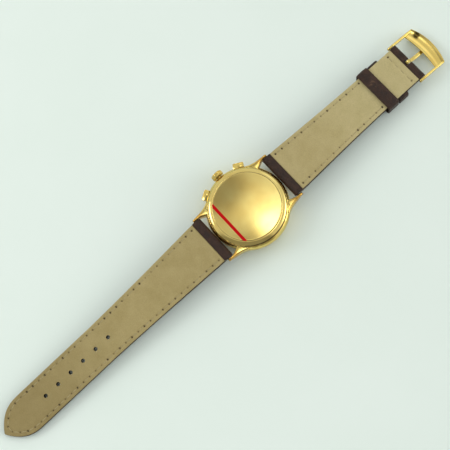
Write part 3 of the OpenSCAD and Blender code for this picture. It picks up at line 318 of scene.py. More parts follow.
def lining_leather(name, light, dark, fade_light, fade_dark, fade_from, fade_to):
    """Split leather whose colour fades along the strap, from one y in mm to another."""
    material, shader, mm = new_material(name, IOR=1.45, Specular_IOR_Level=0.25, Sheen_Weight=0.08)
    cloud = noise(mm, 6.0, 6, 0.62)
    nap = noise(mm, 0.35, 5, 0.7)
    along = add(mm, "SeparateXYZ", Vector=mm).outputs[1]
    near = ramp(cloud, dark, light)
    far = ramp(cloud, fade_dark, fade_light)
    clouded = mix(step_up(along, fade_from, fade_to), near, far)
    specks = ramp(nap, 0.78, 1.1)
    napped = add(mm, "Mix", {"data_type": "RGBA", "blend_type": "MULTIPLY"}, i0=0.8, i6=clouded, i7=specks)
    # Painted shade in the needle holes, read from the attribute needle
    needle = add(mm, "Attribute", {"attribute_name": "needle"}).outputs["Fac"]
    plug(shader, Base_Color=mix(needle, napped.outputs[2], "#2E241B"),
         Roughness=ramp(nap, 0.72, 0.92))
    relief(shader, calc("MULTIPLY_ADD", cloud, 1.5, nap), 0.7, 0.05)
    return material


lining_long = lining_leather(
    "split_leather_khaki_long", "#B1A06F", "#A59462", "#9C8B5D", "#8F7E51", -60, -125)
lining_short = lining_leather(
    "split_leather_khaki_short", "#B8A879", "#AC9C6A", "#C3B585", "#B6A877", 30, 70)

TWIST_PER_STITCH = 7
thread, shader, mm = new_material("polyester_thread_beige", IOR=1.5, Sheen_Weight=0.15, Roughness=0.7)
ply = add(mm, "TexCoord").outputs["UV"]
twist = add(mm, "TexWave", {"bands_direction": "DIAGONAL"},
            Vector=ply, Scale=TWIST_PER_STITCH / 2).outputs["Fac"]
plug(shader, Base_Color=ramp(twist, "#94855A", "#B3A477", 0.2, 0.8))
relief(shader, twist, 0.6, 0.04)
print("leather, lining and thread made")

# %% [markdown]
# ## Modelling helpers
# Every piece starts from a primitive or a copy of a CAD node and ends as one clean mesh at the origin.
# These helpers pick a piece, run edit-mode operators and apply modifiers, as would be done by hand.

# %% Modelling helpers
# The corners of a rounded section: the signs of its two directions, and where its arc starts in degrees
CORNERS = ((1, 1, 0), (-1, 1, 90), (-1, -1, 180), (1, -1, 270))
OUTWARD = ("normals_make_consistent", dict(inside=False))
MERGE = ("remove_doubles", dict(threshold=1e-6))


def pick(piece):
    """Selects one piece alone and makes it active."""
    bpy.ops.object.select_all(action="DESELECT")
    piece.select_set(True)
    bpy.context.view_layer.objects.active = piece


def edit(piece, *operators):
    """Runs mesh operators on the whole piece: each is (operator, settings)."""
    pick(piece)
    bpy.ops.object.mode_set(mode="EDIT")
    bpy.ops.mesh.select_all(action="SELECT")
    for operator, settings in operators:
        getattr(bpy.ops.mesh, operator)(**settings)
    bpy.ops.object.mode_set(mode="OBJECT")


def modify(piece, kind, **settings):
    """Adds a modifier, sets it up and applies it."""
    bpy.context.view_layer.objects.active = piece
    made = piece.modifiers.new(kind.lower(), kind)
    for key, value in settings.items():
        setattr(made, key, value)
    bpy.ops.object.modifier_apply(modifier=made.name)


def dress(piece, angle, body, slot, *materials, node=None):
    """Shades a piece smooth, gives it its materials and body, and hides the CAD node it replaces; its slot is
    not used.
    """
    pick(piece)
    bpy.ops.object.shade_smooth_by_angle(angle=radians(angle))
    piece.data.materials.clear()
    for material in materials:
        piece.data.materials.append(material)
    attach(piece, body)
    if node:
        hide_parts(node)
    print(piece.name, len(piece.data.polygons), "faces")
    return piece


def points_of(piece):
    flat_list = np.zeros(len(piece.data.vertices) * 3)
    piece.data.vertices.foreach_get("co", flat_list)
    return flat_list.reshape(-1, 3)


def move_points(piece, points):
    piece.data.vertices.foreach_set("co", np.ascontiguousarray(points, dtype=np.float32).ravel())
    piece.data.update()


def mark(piece, name, values):
    """Gives each point of a piece a value that its material can read."""
    attribute = piece.data.attributes.new(name, "FLOAT", "POINT")
    attribute.data.foreach_set("value", values.astype(np.float32))


def grid(name, columns, rows):
    """A grid primitive, with each point's place across (-1 to 1) and along (0 to 1)."""
    bpy.ops.mesh.primitive_grid_add(x_subdivisions=columns, y_subdivisions=rows, size=1)
    piece = bpy.context.active_object
    piece.name = piece.data.name = name
    at = points_of(piece)
    return piece, np.round(at[:, 0] * 2, 6), np.round(at[:, 1] + 0.5, 6)


def drawn(name, points, edges, faces):
    """A piece whose points, edges and faces take the place of a primitive's."""
    bpy.ops.mesh.primitive_plane_add(size=1)
    piece = bpy.context.active_object
    piece.name = piece.data.name = name
    piece.data.clear_geometry()
    piece.data.from_pydata(points, edges, faces)
    return piece


def turned(name, profile, steps=192):
    """A lathe piece: the profile, (radius, height) in mm, is spun round the case axis."""
    points = [(r * MM, 0, z * MM) for r, z in profile]
    piece = drawn(name, points, [(i, (i + 1) % len(points)) for i in range(len(points))], [])
    edit(piece, ("spin", dict(steps=steps, angle=tau, center=(0, 0, 0), axis=(0, 0, 1))),
         MERGE, ("dissolve_degenerate", dict(threshold=1e-6)), ("select_all", dict(action="SELECT")), OUTWARD)
    return piece


def loft(name, sections, *clean):
    """A closed skin through sections: an array of stations by ring points by x, y and z in metres.

    It is merged, or cleaned by the given operators instead, and then its open ends are filled.
    """
    stations, around = sections.shape[:2]
    piece, across, along = grid(name, around, stations - 1)
    place = np.round((across + 1) / 2 * around).astype(int) % around
    row = np.round(along * (stations - 1)).astype(int)
    move_points(piece, sections[row, place])
    edit(piece, *(clean or [MERGE]), ("fill_holes", dict(sides=0)), OUTWARD)
    return piece


def rounded(left, right, low, high, steps, low_r, high_r):
    """A rounded rectangle as (across, up) points, with a radius for its lower and its upper corners."""
    around = []
    for sx, sz, first in CORNERS:
        r = high_r if sz > 0 else low_r
        for turn in np.radians(np.linspace(first, first + 90, steps)):
            around.append(((right if sx > 0 else left) - sx * r + r * cos(turn),
                           (high if sz > 0 else low) - sz * r + r * sin(turn)))
    return around


def from_node(node, name):
    """A merged copy of a CAD node, ready for bevels and smooth shading."""
    piece = bpy.data.objects.new(name, frame["nodes"][node].data.copy())
    bpy.context.scene.collection.objects.link(piece)
    edit(piece, ("remove_doubles", dict(threshold=2e-6)),
         ("dissolve_limited", dict(angle_limit=radians(1))))
    return piece


def boolean(piece, *others, operation="DIFFERENCE"):
    """Cuts others from a piece, or unites or intersects it with them, and removes them."""
    for other in others:
        modify(piece, "BOOLEAN", operation=operation, object=other, solver="MANIFOLD")
        bpy.data.objects.remove(other)


def block(size, middle):
    """A cube primitive as a cutter, and its corners in mm."""
    bpy.ops.mesh.primitive_cube_add(size=1)
    cutter = bpy.context.active_object
    return cutter, points_of(cutter) * size + middle


def rod(centre, direction, radius, length, sides=32):
    """A round cutter, in metres."""
    bpy.ops.mesh.primitive_cylinder_add(vertices=sides, radius=radius, depth=length, location=centre)
    cutter = bpy.context.active_object
    cutter.rotation_euler = Vector(direction).to_track_quat("Z", "Y").to_euler()
    bpy.ops.object.transform_apply(location=True, rotation=True, scale=True)
    return cutter


# %% [markdown]
# ## The two strap halves in plan
# Both halves are 20.1 mm wide at the lugs and draw in on a hollow curve. The long half ends in a rounded
# tip, the short half in a fold round the buckle bar. Each half is drawn flat, with y running away from
# its spring bar, and then laid on its slope.

# %% Strap plan
BAR_Y, BAR_Z = 18.95, 7.2
LONG_SLOPE, SHORT_SLOPE = radians(3.0878), radians(2.43487)
W_LUG, END_R, TURN_TO, LINING_T = 20.1, 1.75, 2.3, 0.9
LONG = dict(length=115.1, width=16.7, taper=58.0, thick=2.0)
SHORT = dict(length=69.8, width=17.4, taper=45.0, thick=2.6)
T_LUG, TIP_L, TIP_ROUND, TIP_BLUNT = 3.3, 14.3, 2.6, 0.92
TAPER_FROM, TAPER_HOLLOW, THIN_FROM = 5, 1.4, 3
FOLD_R, LINING_STOP = 1.35, 67.8


def half_width(half, y):
    s = np.clip((y - TAPER_FROM) / half["taper"], 0, 1)
    w = (half["width"] + (W_LUG - half["width"]) * (1 - s) ** TAPER_HOLLOW) / 2
    if half is LONG:
        s = np.clip((y - (half["length"] - TIP_L)) / TIP_L, 0, 1)
        w = np.where(s > 0, half["width"] / 2 * (1 - s ** TIP_ROUND) ** TIP_BLUNT, w)
    return w


def thickness(half, y):
    return T_LUG + (half["thick"] - T_LUG) * np.clip((y - THIN_FROM) / half["taper"], 0, 1)


def lay(half, flat):
    """Turns flat strap points (mm) to their place in the shared frame (m)."""
    slope, side = (LONG_SLOPE, -1) if half is LONG else (-SHORT_SLOPE, 1)
    x, y, z = np.moveaxis(flat * (side, side, 1), -1, 0)
    c, s = cos(slope), sin(slope)
    return np.stack([x, side * BAR_Y + c * y - s * z, BAR_Z + s * y + c * z], -1) * MM


def laid(half, point):
    return Vector(lay(half, np.array([point], float))[0])


def upward_of(half):
    """The way out of the lining of one half."""
    return laid(half, (0, 0, 1)) - laid(half, (0, 0, 0))


# %% [markdown]
# ## Stitch lines
# A seam runs 1.8 mm inside the edge of each half, round the tip of the long one, at seven to eight stitches
# to the inch. Its needle places are worked out once and used three times: for the dents in the lining,
# for the painted shade in the needle holes and for the thread.

# %% Stitch lines
SEAM_IN, PITCH = 1.8, 3.35


def seam(half, first, last):
    """Needle places along the seam of one half, as flat (x, y) points, one list for each run."""
    if half is SHORT:
        ys = np.linspace(first, last, 400)
        side = np.stack([half_width(half, ys) - SEAM_IN, ys], 1)
        return [even(side), even(side * (-1, 1))]
    ys = last - (last - first) * (np.linspace(1, 0, 1500) ** 2)
    edge = np.stack([half_width(half, ys), ys], 1)
    step = np.gradient(edge, axis=0)
    step /= np.linalg.norm(step, axis=1)[:, None] + 1e-12
    inner = edge + np.stack([-step[:, 1], step[:, 0]], 1) * SEAM_IN
    inner = inner[inner[:, 0] > 0]
    return [even(np.concatenate([inner, inner[::-1] * (-1, 1)]))]


def even(path, count=None):
    """Points at even steps along a path, a stitch apart unless they are counted."""
    run = np.concatenate([[0], np.cumsum(np.linalg.norm(np.diff(path, axis=0), axis=1))])
    stops = np.linspace(0, run[-1], count or int(round(run[-1] / PITCH)) + 1)
    return np.stack([np.interp(stops, run, path[:, i]) for i in (0, 1)], 1)


SEAM_FROM, SEAM_TO, CROSS_Y = 4.0, 48.9, 65.15
long_seams = seam(LONG, SEAM_FROM, LONG["length"])
cross_x = half_width(SHORT, CROSS_Y) - SEAM_IN
cross_seam = even(np.array([[-cross_x, CROSS_Y], [cross_x, CROSS_Y]]))
short_seams = seam(SHORT, SEAM_FROM, SEAM_TO) + [cross_seam]
print("stitches:", sum(len(s) - 1 for s in long_seams + short_seams))

# %% [markdown]
# ## Lining
# The lining is a single leaf of leather. A fine grid is drawn to the strap's outline, its rim is rolled
# down, the seam is pulled in as a shallow channel and each needle place is a dent. The rim is then
# extruded down to the leather beneath, and the holes for the tongue are punched through.

# %% Lining
RIM_IN, RIM_ROLL, RIM_DROP = 0.16, 0.55, 0.22
CHANNEL_W, CHANNEL_D, PRICK_R, PRICK_D = 0.6, 0.07, 0.45, 0.4
WALL_STEEP, WALL_LEAST, TIP_CROWDING = 0.45, 2e-9, 1.25
PRICK_SEED, PRICK_LEAST, PRICK_FAINT = 5, 0.55, 0.15
HOLE_COUNT, HOLE_FIRST, HOLE_PITCH, HOLE_R, PUNCH_L = 6, 22.8, 6.9, 0.85, 8


def near_seam(seams, flat):
    """Distance of each flat point to the nearest needle place and seam line, and which needle place."""
    pricks, lines = [], []
    for places in seams:
        pricks += [tuple(p) for p in places]
        for a, b in zip(places[:-1], places[1:]):
            lines += [tuple(a + (b - a) * t) for t in np.arange(0, 1, 0.08)]
    found = []
    for group in (pricks, lines):
        tree_of = kdtree.KDTree(len(group))
        for i, p in enumerate(group):
            tree_of.insert((*p, 0), i)
        tree_of.balance()
        nearest = [tree_of.find((x, y, 0)) for x, y in flat]
        found += [np.array([n[2] for n in nearest]), np.array([n[1] for n in nearest])]
    return found[:3]


def lining(name, half, start, stop, seams, columns, rows):
    piece, across, along = grid(name, columns, rows)
    y = start + (stop - start) * (1 - (1 - along) ** TIP_CROWDING if half is LONG else along)
    w = np.maximum(half_width(half, y) - RIM_IN, 0)
    x = across * w
    to_rim = np.minimum((1 - np.abs(across)) * w, np.minimum(y - start, stop - y))
    roll = np.clip(1 - to_rim / RIM_ROLL, 0, 1)
    flat = np.stack([x, y], 1)
    prick, which, line = near_seam(seams, flat)
    depth_of = np.random.default_rng(PRICK_SEED).uniform(PRICK_LEAST, 1.0, sum(len(s) for s in seams))
    if half is SHORT:
        depth_of[1 - len(seams[-1]):-1] = PRICK_FAINT
    by_hand = depth_of[which]
    pull = np.exp(-(line / CHANNEL_W) ** 2) * CHANNEL_D
    dent = np.exp(-(prick / PRICK_R) ** 4) * PRICK_D * by_hand
    z = thickness(half, y) / 2 - RIM_DROP * (1 - np.sqrt(1 - roll ** 2)) - pull - dent
    move_points(piece, np.stack([x, y, z], 1))
    # The attribute needle carries the painted shade of each needle hole, as strong as its dent is deep
    mark(piece, "needle", by_hand * np.exp(-(prick / (PRICK_R * by_hand)) ** 4))
    edit(piece, ("remove_doubles", dict(threshold=1e-4)), ("select_all", dict(action="DESELECT")),
         ("select_non_manifold", dict()), ("extrude_region_move", dict(
             TRANSFORM_OT_translate=dict(value=(0, 0, -0.4)))), ("edge_face_add", dict()))
    flat3 = points_of(piece)
    low = np.zeros(len(flat3), bool)
    for polygon in piece.data.polygons:
        if len(polygon.vertices) > 8:
            low[list(polygon.vertices)] = True
    flat3[low, 2] = thickness(half, flat3[low, 1]) / 2 - LINING_T
    move_points(piece, lay(half, flat3))
    return piece


def paint_edges(piece, half):
    """The side walls of a leaf take its second material."""
    up = upward_of(half).normalized()
    for polygon in piece.data.polygons:
        is_wall = abs(polygon.normal.dot(up)) < WALL_STEEP and polygon.area > WALL_LEAST
        polygon.material_index = 1 if is_wall else 0


def hole_rods():
    """Punches for the holes of the long half."""
    places = [LONG["length"] - HOLE_FIRST - HOLE_PITCH * i for i in range(HOLE_COUNT)]
    return [rod(laid(LONG, (0, y, 0)), upward_of(LONG), HOLE_R * MM, PUNCH_L * MM) for y in places]


long_lining = lining("long_lining_leaf", LONG, TURN_TO, LONG["length"] - RIM_IN, long_seams, 96, 520)
boolean(long_lining, *hole_rods())
dress(long_lining, 50, "long_strap", "lining", lining_long, edge_paint, node="long_strap_lining")
paint_edges(long_lining, LONG)
short_lining = lining("short_lining_leaf", SHORT, TURN_TO, LINING_STOP, short_seams, 96, 320)
dress(short_lining, 50, "short_strap", "lining", lining_short, edge_paint, node="short_strap_lining")
paint_edges(short_lining, SHORT)

# %% [markdown]
# ## Leather
# Under the lining is the padded outer leather. It is drawn as a tube of rounded sections: it comes round
# the spring bar, is turned over for a few millimetres as the dark band between lug and lining, and on
# the short half goes round the buckle bar as well. The grain side bulges between its seams.

# %% Leather
RING_TOP, RING_ARC, FOLD_STEPS = 9, 5, 12
BAR_BORE_R, BAR_CUT_L, TUCK = 0.8, 30, 0.05
SLOT, SLOT_BACK = (2.15, 6.0, 8.0), 1.45
TOP_EDGE_R, GRAIN_EDGE_R, BULGE, BULGE_W = 0.3, 0.9, 0.28, 3


def ring():
    """One closed section as (side, end, angle): corner signs and the angle within the corner."""
    steps = []
    for side, end, first in CORNERS:
        steps += [(side, end, radians(first + 90 * i / RING_ARC)) for i in range(RING_ARC + 1)]
        if side * end > 0:
            steps += [(side * (1 - 2 * (i + 1) / (RING_TOP + 1)), end, pi / 2 * end)
                      for i in range(RING_TOP)]
    return np.array(steps)


def leather_half(name, half, stations):
    """The leather of one half, through stations of (y, top, bottom) in mm."""
    side, end, turn_by = ring().T
    y, top, low = np.array(stations).T[:, :, None]
    w = half_width(half, y)
    r = np.minimum(np.where(end > 0, TOP_EDGE_R, GRAIN_EDGE_R), np.minimum((top - low) / 2, w))
    x = side * (w - r) + r * np.cos(turn_by) * (np.abs(side) > 0.999)
    z = np.where(end > 0, top, low) - end * r + r * np.sin(turn_by)
    thin = BULGE * np.clip((np.abs(x) - (w - BULGE_W)) / BULGE_W, 0, 1) ** 2
    z = np.where((end < 0) & (w > 1), z + thin * np.clip((top - low) / 2, 0, 1), z)
    flat = np.stack(np.broadcast_arrays(x, y, z), 2)
    return loft(name, lay(half, flat), ("remove_doubles", dict(threshold=5e-6)),
                ("dissolve_degenerate", dict(threshold=5e-6)), ("select_all", dict(action="SELECT")))


def fold(y, r, first):
    """(y, top, bottom) rows round a bar, over a quarter turn from an angle in degrees."""
    turns = [radians(first - 90 * i / FOLD_STEPS) for i in range(FOLD_STEPS + 1)]
    return [(y + r * cos(a), r * sin(a), -r * sin(a)) for a in turns]


def leather_stations(half, last):
    """(y, top, bottom) rows: round the bar, the turned-over band, then under the lining."""
    rows = fold(0, END_R, 180)
    for y in (0.7, 1.3, 1.8, TURN_TO - 0.12):
        t = END_R + (thickness(half, y) / 2 - END_R) * y / 3
        rows.append((y, t + 0.04, -t))
    t = thickness(half, TURN_TO) / 2
    rows += [(TURN_TO, t - 0.1, -t), (TURN_TO + 0.01, t - LINING_T + TUCK, -t)]
    for y in last:
        t = thickness(half, y) / 2
        rows.append((y, t - LINING_T + TUCK, -t))
    return rows


def bar_rod(half, y):
    """The bore for a bar that lies across one half."""
    return rod(laid(half, (0, y, 0)), (1, 0, 0), BAR_BORE_R * MM, BAR_CUT_L * MM)


straight = list(np.linspace(4, LONG["length"] - TIP_L, 60))
tip = list(LONG["length"] - TIP_L * np.linspace(1, 0, 40)[1:] ** 2)
rows = leather_stations(LONG, straight + tip)
long_leather = leather_half("long_strap_leather", LONG, rows)
boolean(long_leather, bar_rod(LONG, 0), *hole_rods())
dress(long_leather, 40, "long_strap", "leather", calf_brown, node="long_strap")

rows = leather_stations(SHORT, list(np.linspace(4, LINING_STOP - 0.01, 50)))
t = SHORT["thick"] / 2
rows += [(LINING_STOP + 0.01, t - 0.05, -t), (LINING_STOP + 0.15, t + 0.03, -t),
         (SHORT["length"] - 0.8, FOLD_R - 0.01, -FOLD_R)]
rows += fold(SHORT["length"], FOLD_R, 90)
short_leather = leather_half("short_strap_leather", SHORT, rows)
slot_cut, slot_shape = block(SLOT, (0, SHORT["length"] - SLOT_BACK + SLOT[1] / 2, 0))
move_points(slot_cut, lay(SHORT, slot_shape))
boolean(short_leather, bar_rod(SHORT, 0), bar_rod(SHORT, SHORT["length"]), slot_cut)
dress(short_leather, 40, "short_strap", "leather", calf_brown, node="short_strap")

# %% [markdown]
# ## Thread
# One stitch is a small round bar whose ends dive into the leather. It is drawn once, as rings of points
# that sink and narrow towards both ends, and copied along every seam, each copy turned to its own
# direction. All are sunk a little into the lining, so that the free keeper slides over them.

# %% Thread
THREAD_R, STITCH_RINGS, STITCH_SIDES, STITCH_SINK = 0.2, 8, 8, 0.1
STITCH_LIFT, STITCH_DEEP, STITCH_GAP = 0.3, 0.32, 0.07


def one_stitch():
    """The points and faces of a stitch one unit long, lying along y, with its twist coordinates."""
    points, faces, marks = [], [], []
    for i in range(STITCH_RINGS + 1):
        t = i / STITCH_RINGS
        lift = STITCH_LIFT * sin(pi * t) ** 0.6 - STITCH_DEEP
        r = THREAD_R * (0.55 + 0.45 * sin(pi * t) ** 0.5)
        for k in range(STITCH_SIDES):
            a = tau * k / STITCH_SIDES
            points.append((r * cos(a), STITCH_GAP + (1 - 2 * STITCH_GAP) * t, lift + r * sin(a)))
            marks.append((t, k / STITCH_SIDES))
    for i in range(STITCH_RINGS):
        for k in range(STITCH_SIDES):
            a, b = i * STITCH_SIDES + k, i * STITCH_SIDES + (k + 1) % STITCH_SIDES
            faces.append((a, b, b + STITCH_SIDES, a + STITCH_SIDES))
    faces += [tuple(range(STITCH_SIDES))[::-1],
              tuple(range(STITCH_RINGS * STITCH_SIDES, (STITCH_RINGS + 1) * STITCH_SIDES))]
    return np.array(points), faces, marks


def stitches(name, half, seams, body):
    base, faces, marks = one_stitch()
    points, all_faces, all_marks = [], [], []
    for places in seams:
        for a, b in zip(places[:-1], places[1:]):
            step = b - a
            side = np.array([step[1], -step[0]]) / np.linalg.norm(step)
            flat = a + base[:, 1:2] * step + base[:, :1] * side
            z = thickness(half, flat[:, 1]) / 2 + base[:, 2] - STITCH_SINK
            all_faces += [tuple(v + len(points) * len(base) for v in f) for f in faces]
            points.append(lay(half, np.column_stack([flat, z])))
            all_marks += marks
    piece = drawn(name, np.concatenate(points).tolist(), [], all_faces)
    ply_map = piece.data.uv_layers.new(name="ply")
    for loop in piece.data.loops:
        ply_map.data[loop.index].uv = all_marks[loop.vertex_index]
    edit(piece, OUTWARD)
    return dress(piece, 60, body, "lining", thread)


stitches("long_strap_stitches", LONG, long_seams, "long_strap")
stitches("short_strap_stitches", SHORT, short_seams, "short_strap")

# %% [markdown]
# ## Keepers
# A keeper is a strip of the same calf bent into a loop, with its ends joined. The free one slides on the
# strap and shows its scuffed joint on top. The fixed one is caught between leather and lining, so only
# its sides show beside the strap.

# %% Keepers
KEEPER_IN, KEEPER_T, KEEPER_R, KEEPER_CROWN, KEEPER_LOW = 18.1, 0.8, 0.9, 0.2, -4.6
FIXED = dict(middle=58.7, length=5.0, high=0.4)
FREE = dict(middle=52.85, length=5.7, high=2.25)
LOOP_STEPS, STRIP_ROUND, STRIP_EASE = 161, 0.42, (0.08, 0.06)
CROWN_FROM, CROWN_OVER = -1.5, 2
SCUFF_X, SCUFF_HALF, SCUFF_ABOVE = -2.0, 2.3, BAR_Z - 2.0


def strip_section(length, thick):
    """Section of the leather strip as (along the strap, outwards): crowned outside, rounded edges."""
    half, r = length / 2, thick * STRIP_ROUND
    u = np.linspace(-half + r, half - r, 11)
    outer = [(a, thick / 2) for a in u]
    arcs = [radians(75 - 15 * i) for i in range(11)]
    far = [(half - r + r * cos(a), thick / 2 * sin(a)) for a in arcs]
    inner = [(a, -thick / 2) for a in u[::-5]]
    near = [(-half + r - r * cos(a), thick / 2 * sin(a)) for a in arcs[::-1]]
    return np.array(outer + far + inner + near)


def keeper(name, body, node, middle, length, high):
    """A strip lofted round a rounded rectangle, at a middle and up to a height of the short half."""
    w = KEEPER_IN / 2 + KEEPER_T / 2
    path = rounded(-w, w, KEEPER_LOW + KEEPER_T / 2, high - KEEPER_T / 2, 7, KEEPER_R, KEEPER_R)
    track = even(np.array(path + path[:1]), LOOP_STEPS)
    step = np.roll(track, -1, 0) - np.roll(track, 1, 0)
    step[[0, -1]] = track[1] - track[-2]
    out = np.stack([step[:, 1], -step[:, 0]], 1) / np.linalg.norm(step, axis=1)[:, None]
    shape = strip_section(length - STRIP_EASE[0], KEEPER_T - STRIP_EASE[1])
    crown = KEEPER_CROWN * (1 - (2 * shape[:, 0] / length) ** 2) * (shape[:, 1] > 0)
    lift = shape[None, :, 1] + crown[None] * np.clip((track[:, 1:] - CROWN_FROM) / CROWN_OVER, 0, 1)
    x = track[:, :1] + out[:, :1] * lift
    z = track[:, 1:] + out[:, 1:] * lift
    y = middle + np.broadcast_to(shape[None, :, 0], x.shape)
    piece = loft(name, lay(SHORT, np.stack([x, y, z], 2)))
    return dress(piece, 60, body, "leather", calf_brown, node=node)


keeper("fixed_keeper_loop", "short_strap", "fixed_keeper", **FIXED)
free_loop = keeper("free_keeper_loop", "free_keeper", "free_keeper", **FREE)
spots = points_of(free_loop) / MM
worn = np.exp(-((spots[:, 0] - SCUFF_X) / SCUFF_HALF) ** 4) * (spots[:, 2] > SCUFF_ABOVE)
mark(free_loop, "scuff", worn)

# %% [markdown]
# ## Case back and bezel
# Both are lathe work, so both are spun from a profile. The case back is a shallow dome with a fine step,
# a convex rim and an undercut, and a small notch in the rim takes the case knife.

# %% Case back and bezel
BACK_R, RIM_R, SEAT, BACK_Z, DOME = 14.1, 15.95, 8.2, 10.05, 0.45
ROLL_R, ROLL_TOP, ROLL_OUT = 2.2, BACK_Z - 0.2, 0.15
NOTCH_TURN, NOTCH, NOTCH_IN, NOTCH_LOW = radians(-75), (3.0, 1.8, 1.45), 0.8, 1


def dome_z(r):
    return BACK_Z + DOME * (1 - (r / BACK_R) ** 2)


inside = [(0, 9.42), (10.75, 9.42), (14.15, 8.9), (14.15, 7.35), (14.6, 7.35)]
seat = [(14.6, SEAT + 0.01), (15.7, SEAT + 0.01), (15.8, SEAT + 0.05), (15.9, SEAT + 0.14)]
steepest = asin((RIM_R - BACK_R - ROLL_OUT) / ROLL_R)
side = [(RIM_R, SEAT + 0.25), (RIM_R, SEAT + 0.5),
        (RIM_R, ROLL_TOP - ROLL_R * (1 - cos(steepest)) - 0.1)]
rim = [(BACK_R + ROLL_OUT + ROLL_R * sin(a), ROLL_TOP - ROLL_R * (1 - cos(a)))
       for a in np.linspace(steepest, 0, 16)]
step = [(BACK_R + 0.06, ROLL_TOP - 0.03), (BACK_R, ROLL_TOP), (BACK_R - 0.2, BACK_Z + 0.02),
        (BACK_R - 0.27, dome_z(BACK_R - 0.27))]
profile = inside + seat + side + rim + step
profile += [(r, dome_z(r)) for r in np.linspace(BACK_R - 0.5, 0, 24)]
back = turned("case_back_lathed", profile, 256)
notch, shape = block(NOTCH, (RIM_R - NOTCH_IN + NOTCH[0] / 2, 0, SEAT - NOTCH_LOW + NOTCH[2] / 2))
c, s = cos(NOTCH_TURN), sin(NOTCH_TURN)
x, y, z = shape.T
move_points(notch, np.stack([c * x - s * y, s * x + c * y, z], 1) * MM)
boolean(back, notch)
dress(back, 32, "case", "gold", gold_back, node="case_back")

bezel_profile = [(14.8, 0.55), (14.95, 0.47), (15.3, 0.46), (15.65, 0.9), (15.95, 1.2), (16.18, 1.5),
                 (16.32, 1.8), (16.4, 2.05), (16.38, 2.4), (16.3, 2.58), (15.4, 2.59), (15.4, 1.52),
                 (14.8, 1.5)]
bezel = turned("bezel_lathed", bezel_profile)
dress(bezel, 40, "case", "gold", gold_polished, node="bezel")

# %% [markdown]
# ## Buckle frame
# The frame is one casting: a wide front bar, bowed in plan and hollow on the wrist side, between two
# arms. The front bar is lofted through sections whose edges are half rounds, the arms through rounded
# rectangles. They are united and bored for the pins of the buckle bar.

# %% Buckle frame
BUCKLE_L, FRONT_W, FRONT_BOW, FRAME_HALF, ARM_W = 13.5, 5.8, 2.0, 9.85, 0.95
FRONT_LOW, FRONT_T, FRONT_MID, FRONT_H = -0.9, 0.8, 9.6, 3.9
EDGE, END_ROUND, FRONT_REACH, HOLLOW_TOP, HOLLOW_LOW = 0.26, 0.25, 9.45, 1.15, 1.5
TAIL_Y, TAIL_R, ARM_TO, ARM_ROUND = -1.25, 1.05, 10.8, 0.3
BAR_HOLE_R, BAR_HOLE_L = 0.46, 18.8
DIP = radians(9.89118)
BUCKLE_BAR = laid(SHORT, (0, SHORT["length"], 0)) / MM


def lay_buckle(flat):
    """Turns points of the buckle (mm from its bar) to their place in the shared frame (m)."""
    c, s = cos(DIP), sin(DIP)
    x, y, z = np.moveaxis(flat, -1, 0)
    return np.stack([x, BUCKLE_BAR.y + c * y + s * z, BUCKLE_BAR.z - s * y + c * z], -1) * MM


def front_section(x, inset):
    """One section of the front bar, drawn in by an inset at the bar's ends."""
    s = (x / FRAME_HALF) ** 2
    first = BUCKLE_L - FRONT_W - FRONT_BOW * 0.5 * s + inset + EDGE
    last = BUCKLE_L - FRONT_BOW * s - inset - EDGE
    y = np.linspace(first, last, 25)
    q = ((y - FRONT_MID + FRONT_BOW * 0.75 * (s - 0.35)) / FRONT_H) ** 2
    high, low = FRONT_LOW + FRONT_T + HOLLOW_TOP * q, FRONT_LOW + HOLLOW_LOW * q
    mid, half = (high + low) / 2, np.maximum((high - low) / 2 - inset * 0.7, 0.08)
    ring_of = [(a, m + h) for a, m, h in zip(y, mid, half)]
    turns = [radians(72 - 18 * i) for i in range(9)]
    ring_of += [(last + EDGE * cos(a), mid[-1] + half[-1] * sin(a)) for a in turns]
    ring_of += [(a, m - h) for a, m, h in zip(y[::-1], mid[::-1], half[::-1])]
    ring_of += [(first - EDGE * cos(a), mid[0] + half[0] * sin(a)) for a in turns[::-1]]
    return [(x, a, b) for a, b in ring_of]


ends = [(FRAME_HALF - END_ROUND * (1 - cos(a)), END_ROUND * (1 - sin(a)))
        for a in (radians(18 * i) for i in range(6))]
rows = [(-x, d) for x, d in ends] + [(x, 0) for x in np.linspace(-FRONT_REACH, FRONT_REACH, 63)] + ends[::-1]
frame_piece = loft("buckle_frame_cast", lay_buckle(np.array([front_section(x, d) for x, d in rows])))


def arm_section(y, side):
    """A rounded section of an arm: it ends in a half round behind the bar."""
    low = np.interp(y, (TAIL_Y, 0, 8.6, ARM_TO), (-TAIL_R, -1.2, -0.75, -0.6))
    high = np.interp(y, (TAIL_Y, 0, 7.6, ARM_TO), (TAIL_R, 1.2, 0.85, 0.5))
    if y < TAIL_Y:
        high = sqrt(max(TAIL_R ** 2 - (y - TAIL_Y) ** 2, 0))
        low = -high
    r = min(ARM_ROUND, (high - low) / 2)
    mid_x = side * (FRAME_HALF - ARM_W / 2)
    section = rounded(mid_x - ARM_W / 2, mid_x + ARM_W / 2, low, high, 6, r, r)
    return [(x, y, z) for x, z in section]


arm_rows = [TAIL_Y - TAIL_R * cos(radians(a)) for a in range(0, 90, 10)]
arm_rows += list(np.linspace(TAIL_Y, ARM_TO, 30))
for side in (1, -1):
    arm = loft("arm", lay_buckle(np.array([arm_section(y, side) for y in arm_rows])))
    boolean(frame_piece, arm, operation="UNION")
boolean(frame_piece, rod(BUCKLE_BAR * MM, (1, 0, 0), BAR_HOLE_R * MM, BAR_HOLE_L * MM))
dress(frame_piece, 34, "buckle", "gold", gold_buckle, node="buckle_frame")

# %% [markdown]
# ## Lugs
# Each lug is lofted through rounded sections, because the round top is what makes it look cast and
# polished: its ridge takes the sky and its flanks take the brown of the leather.

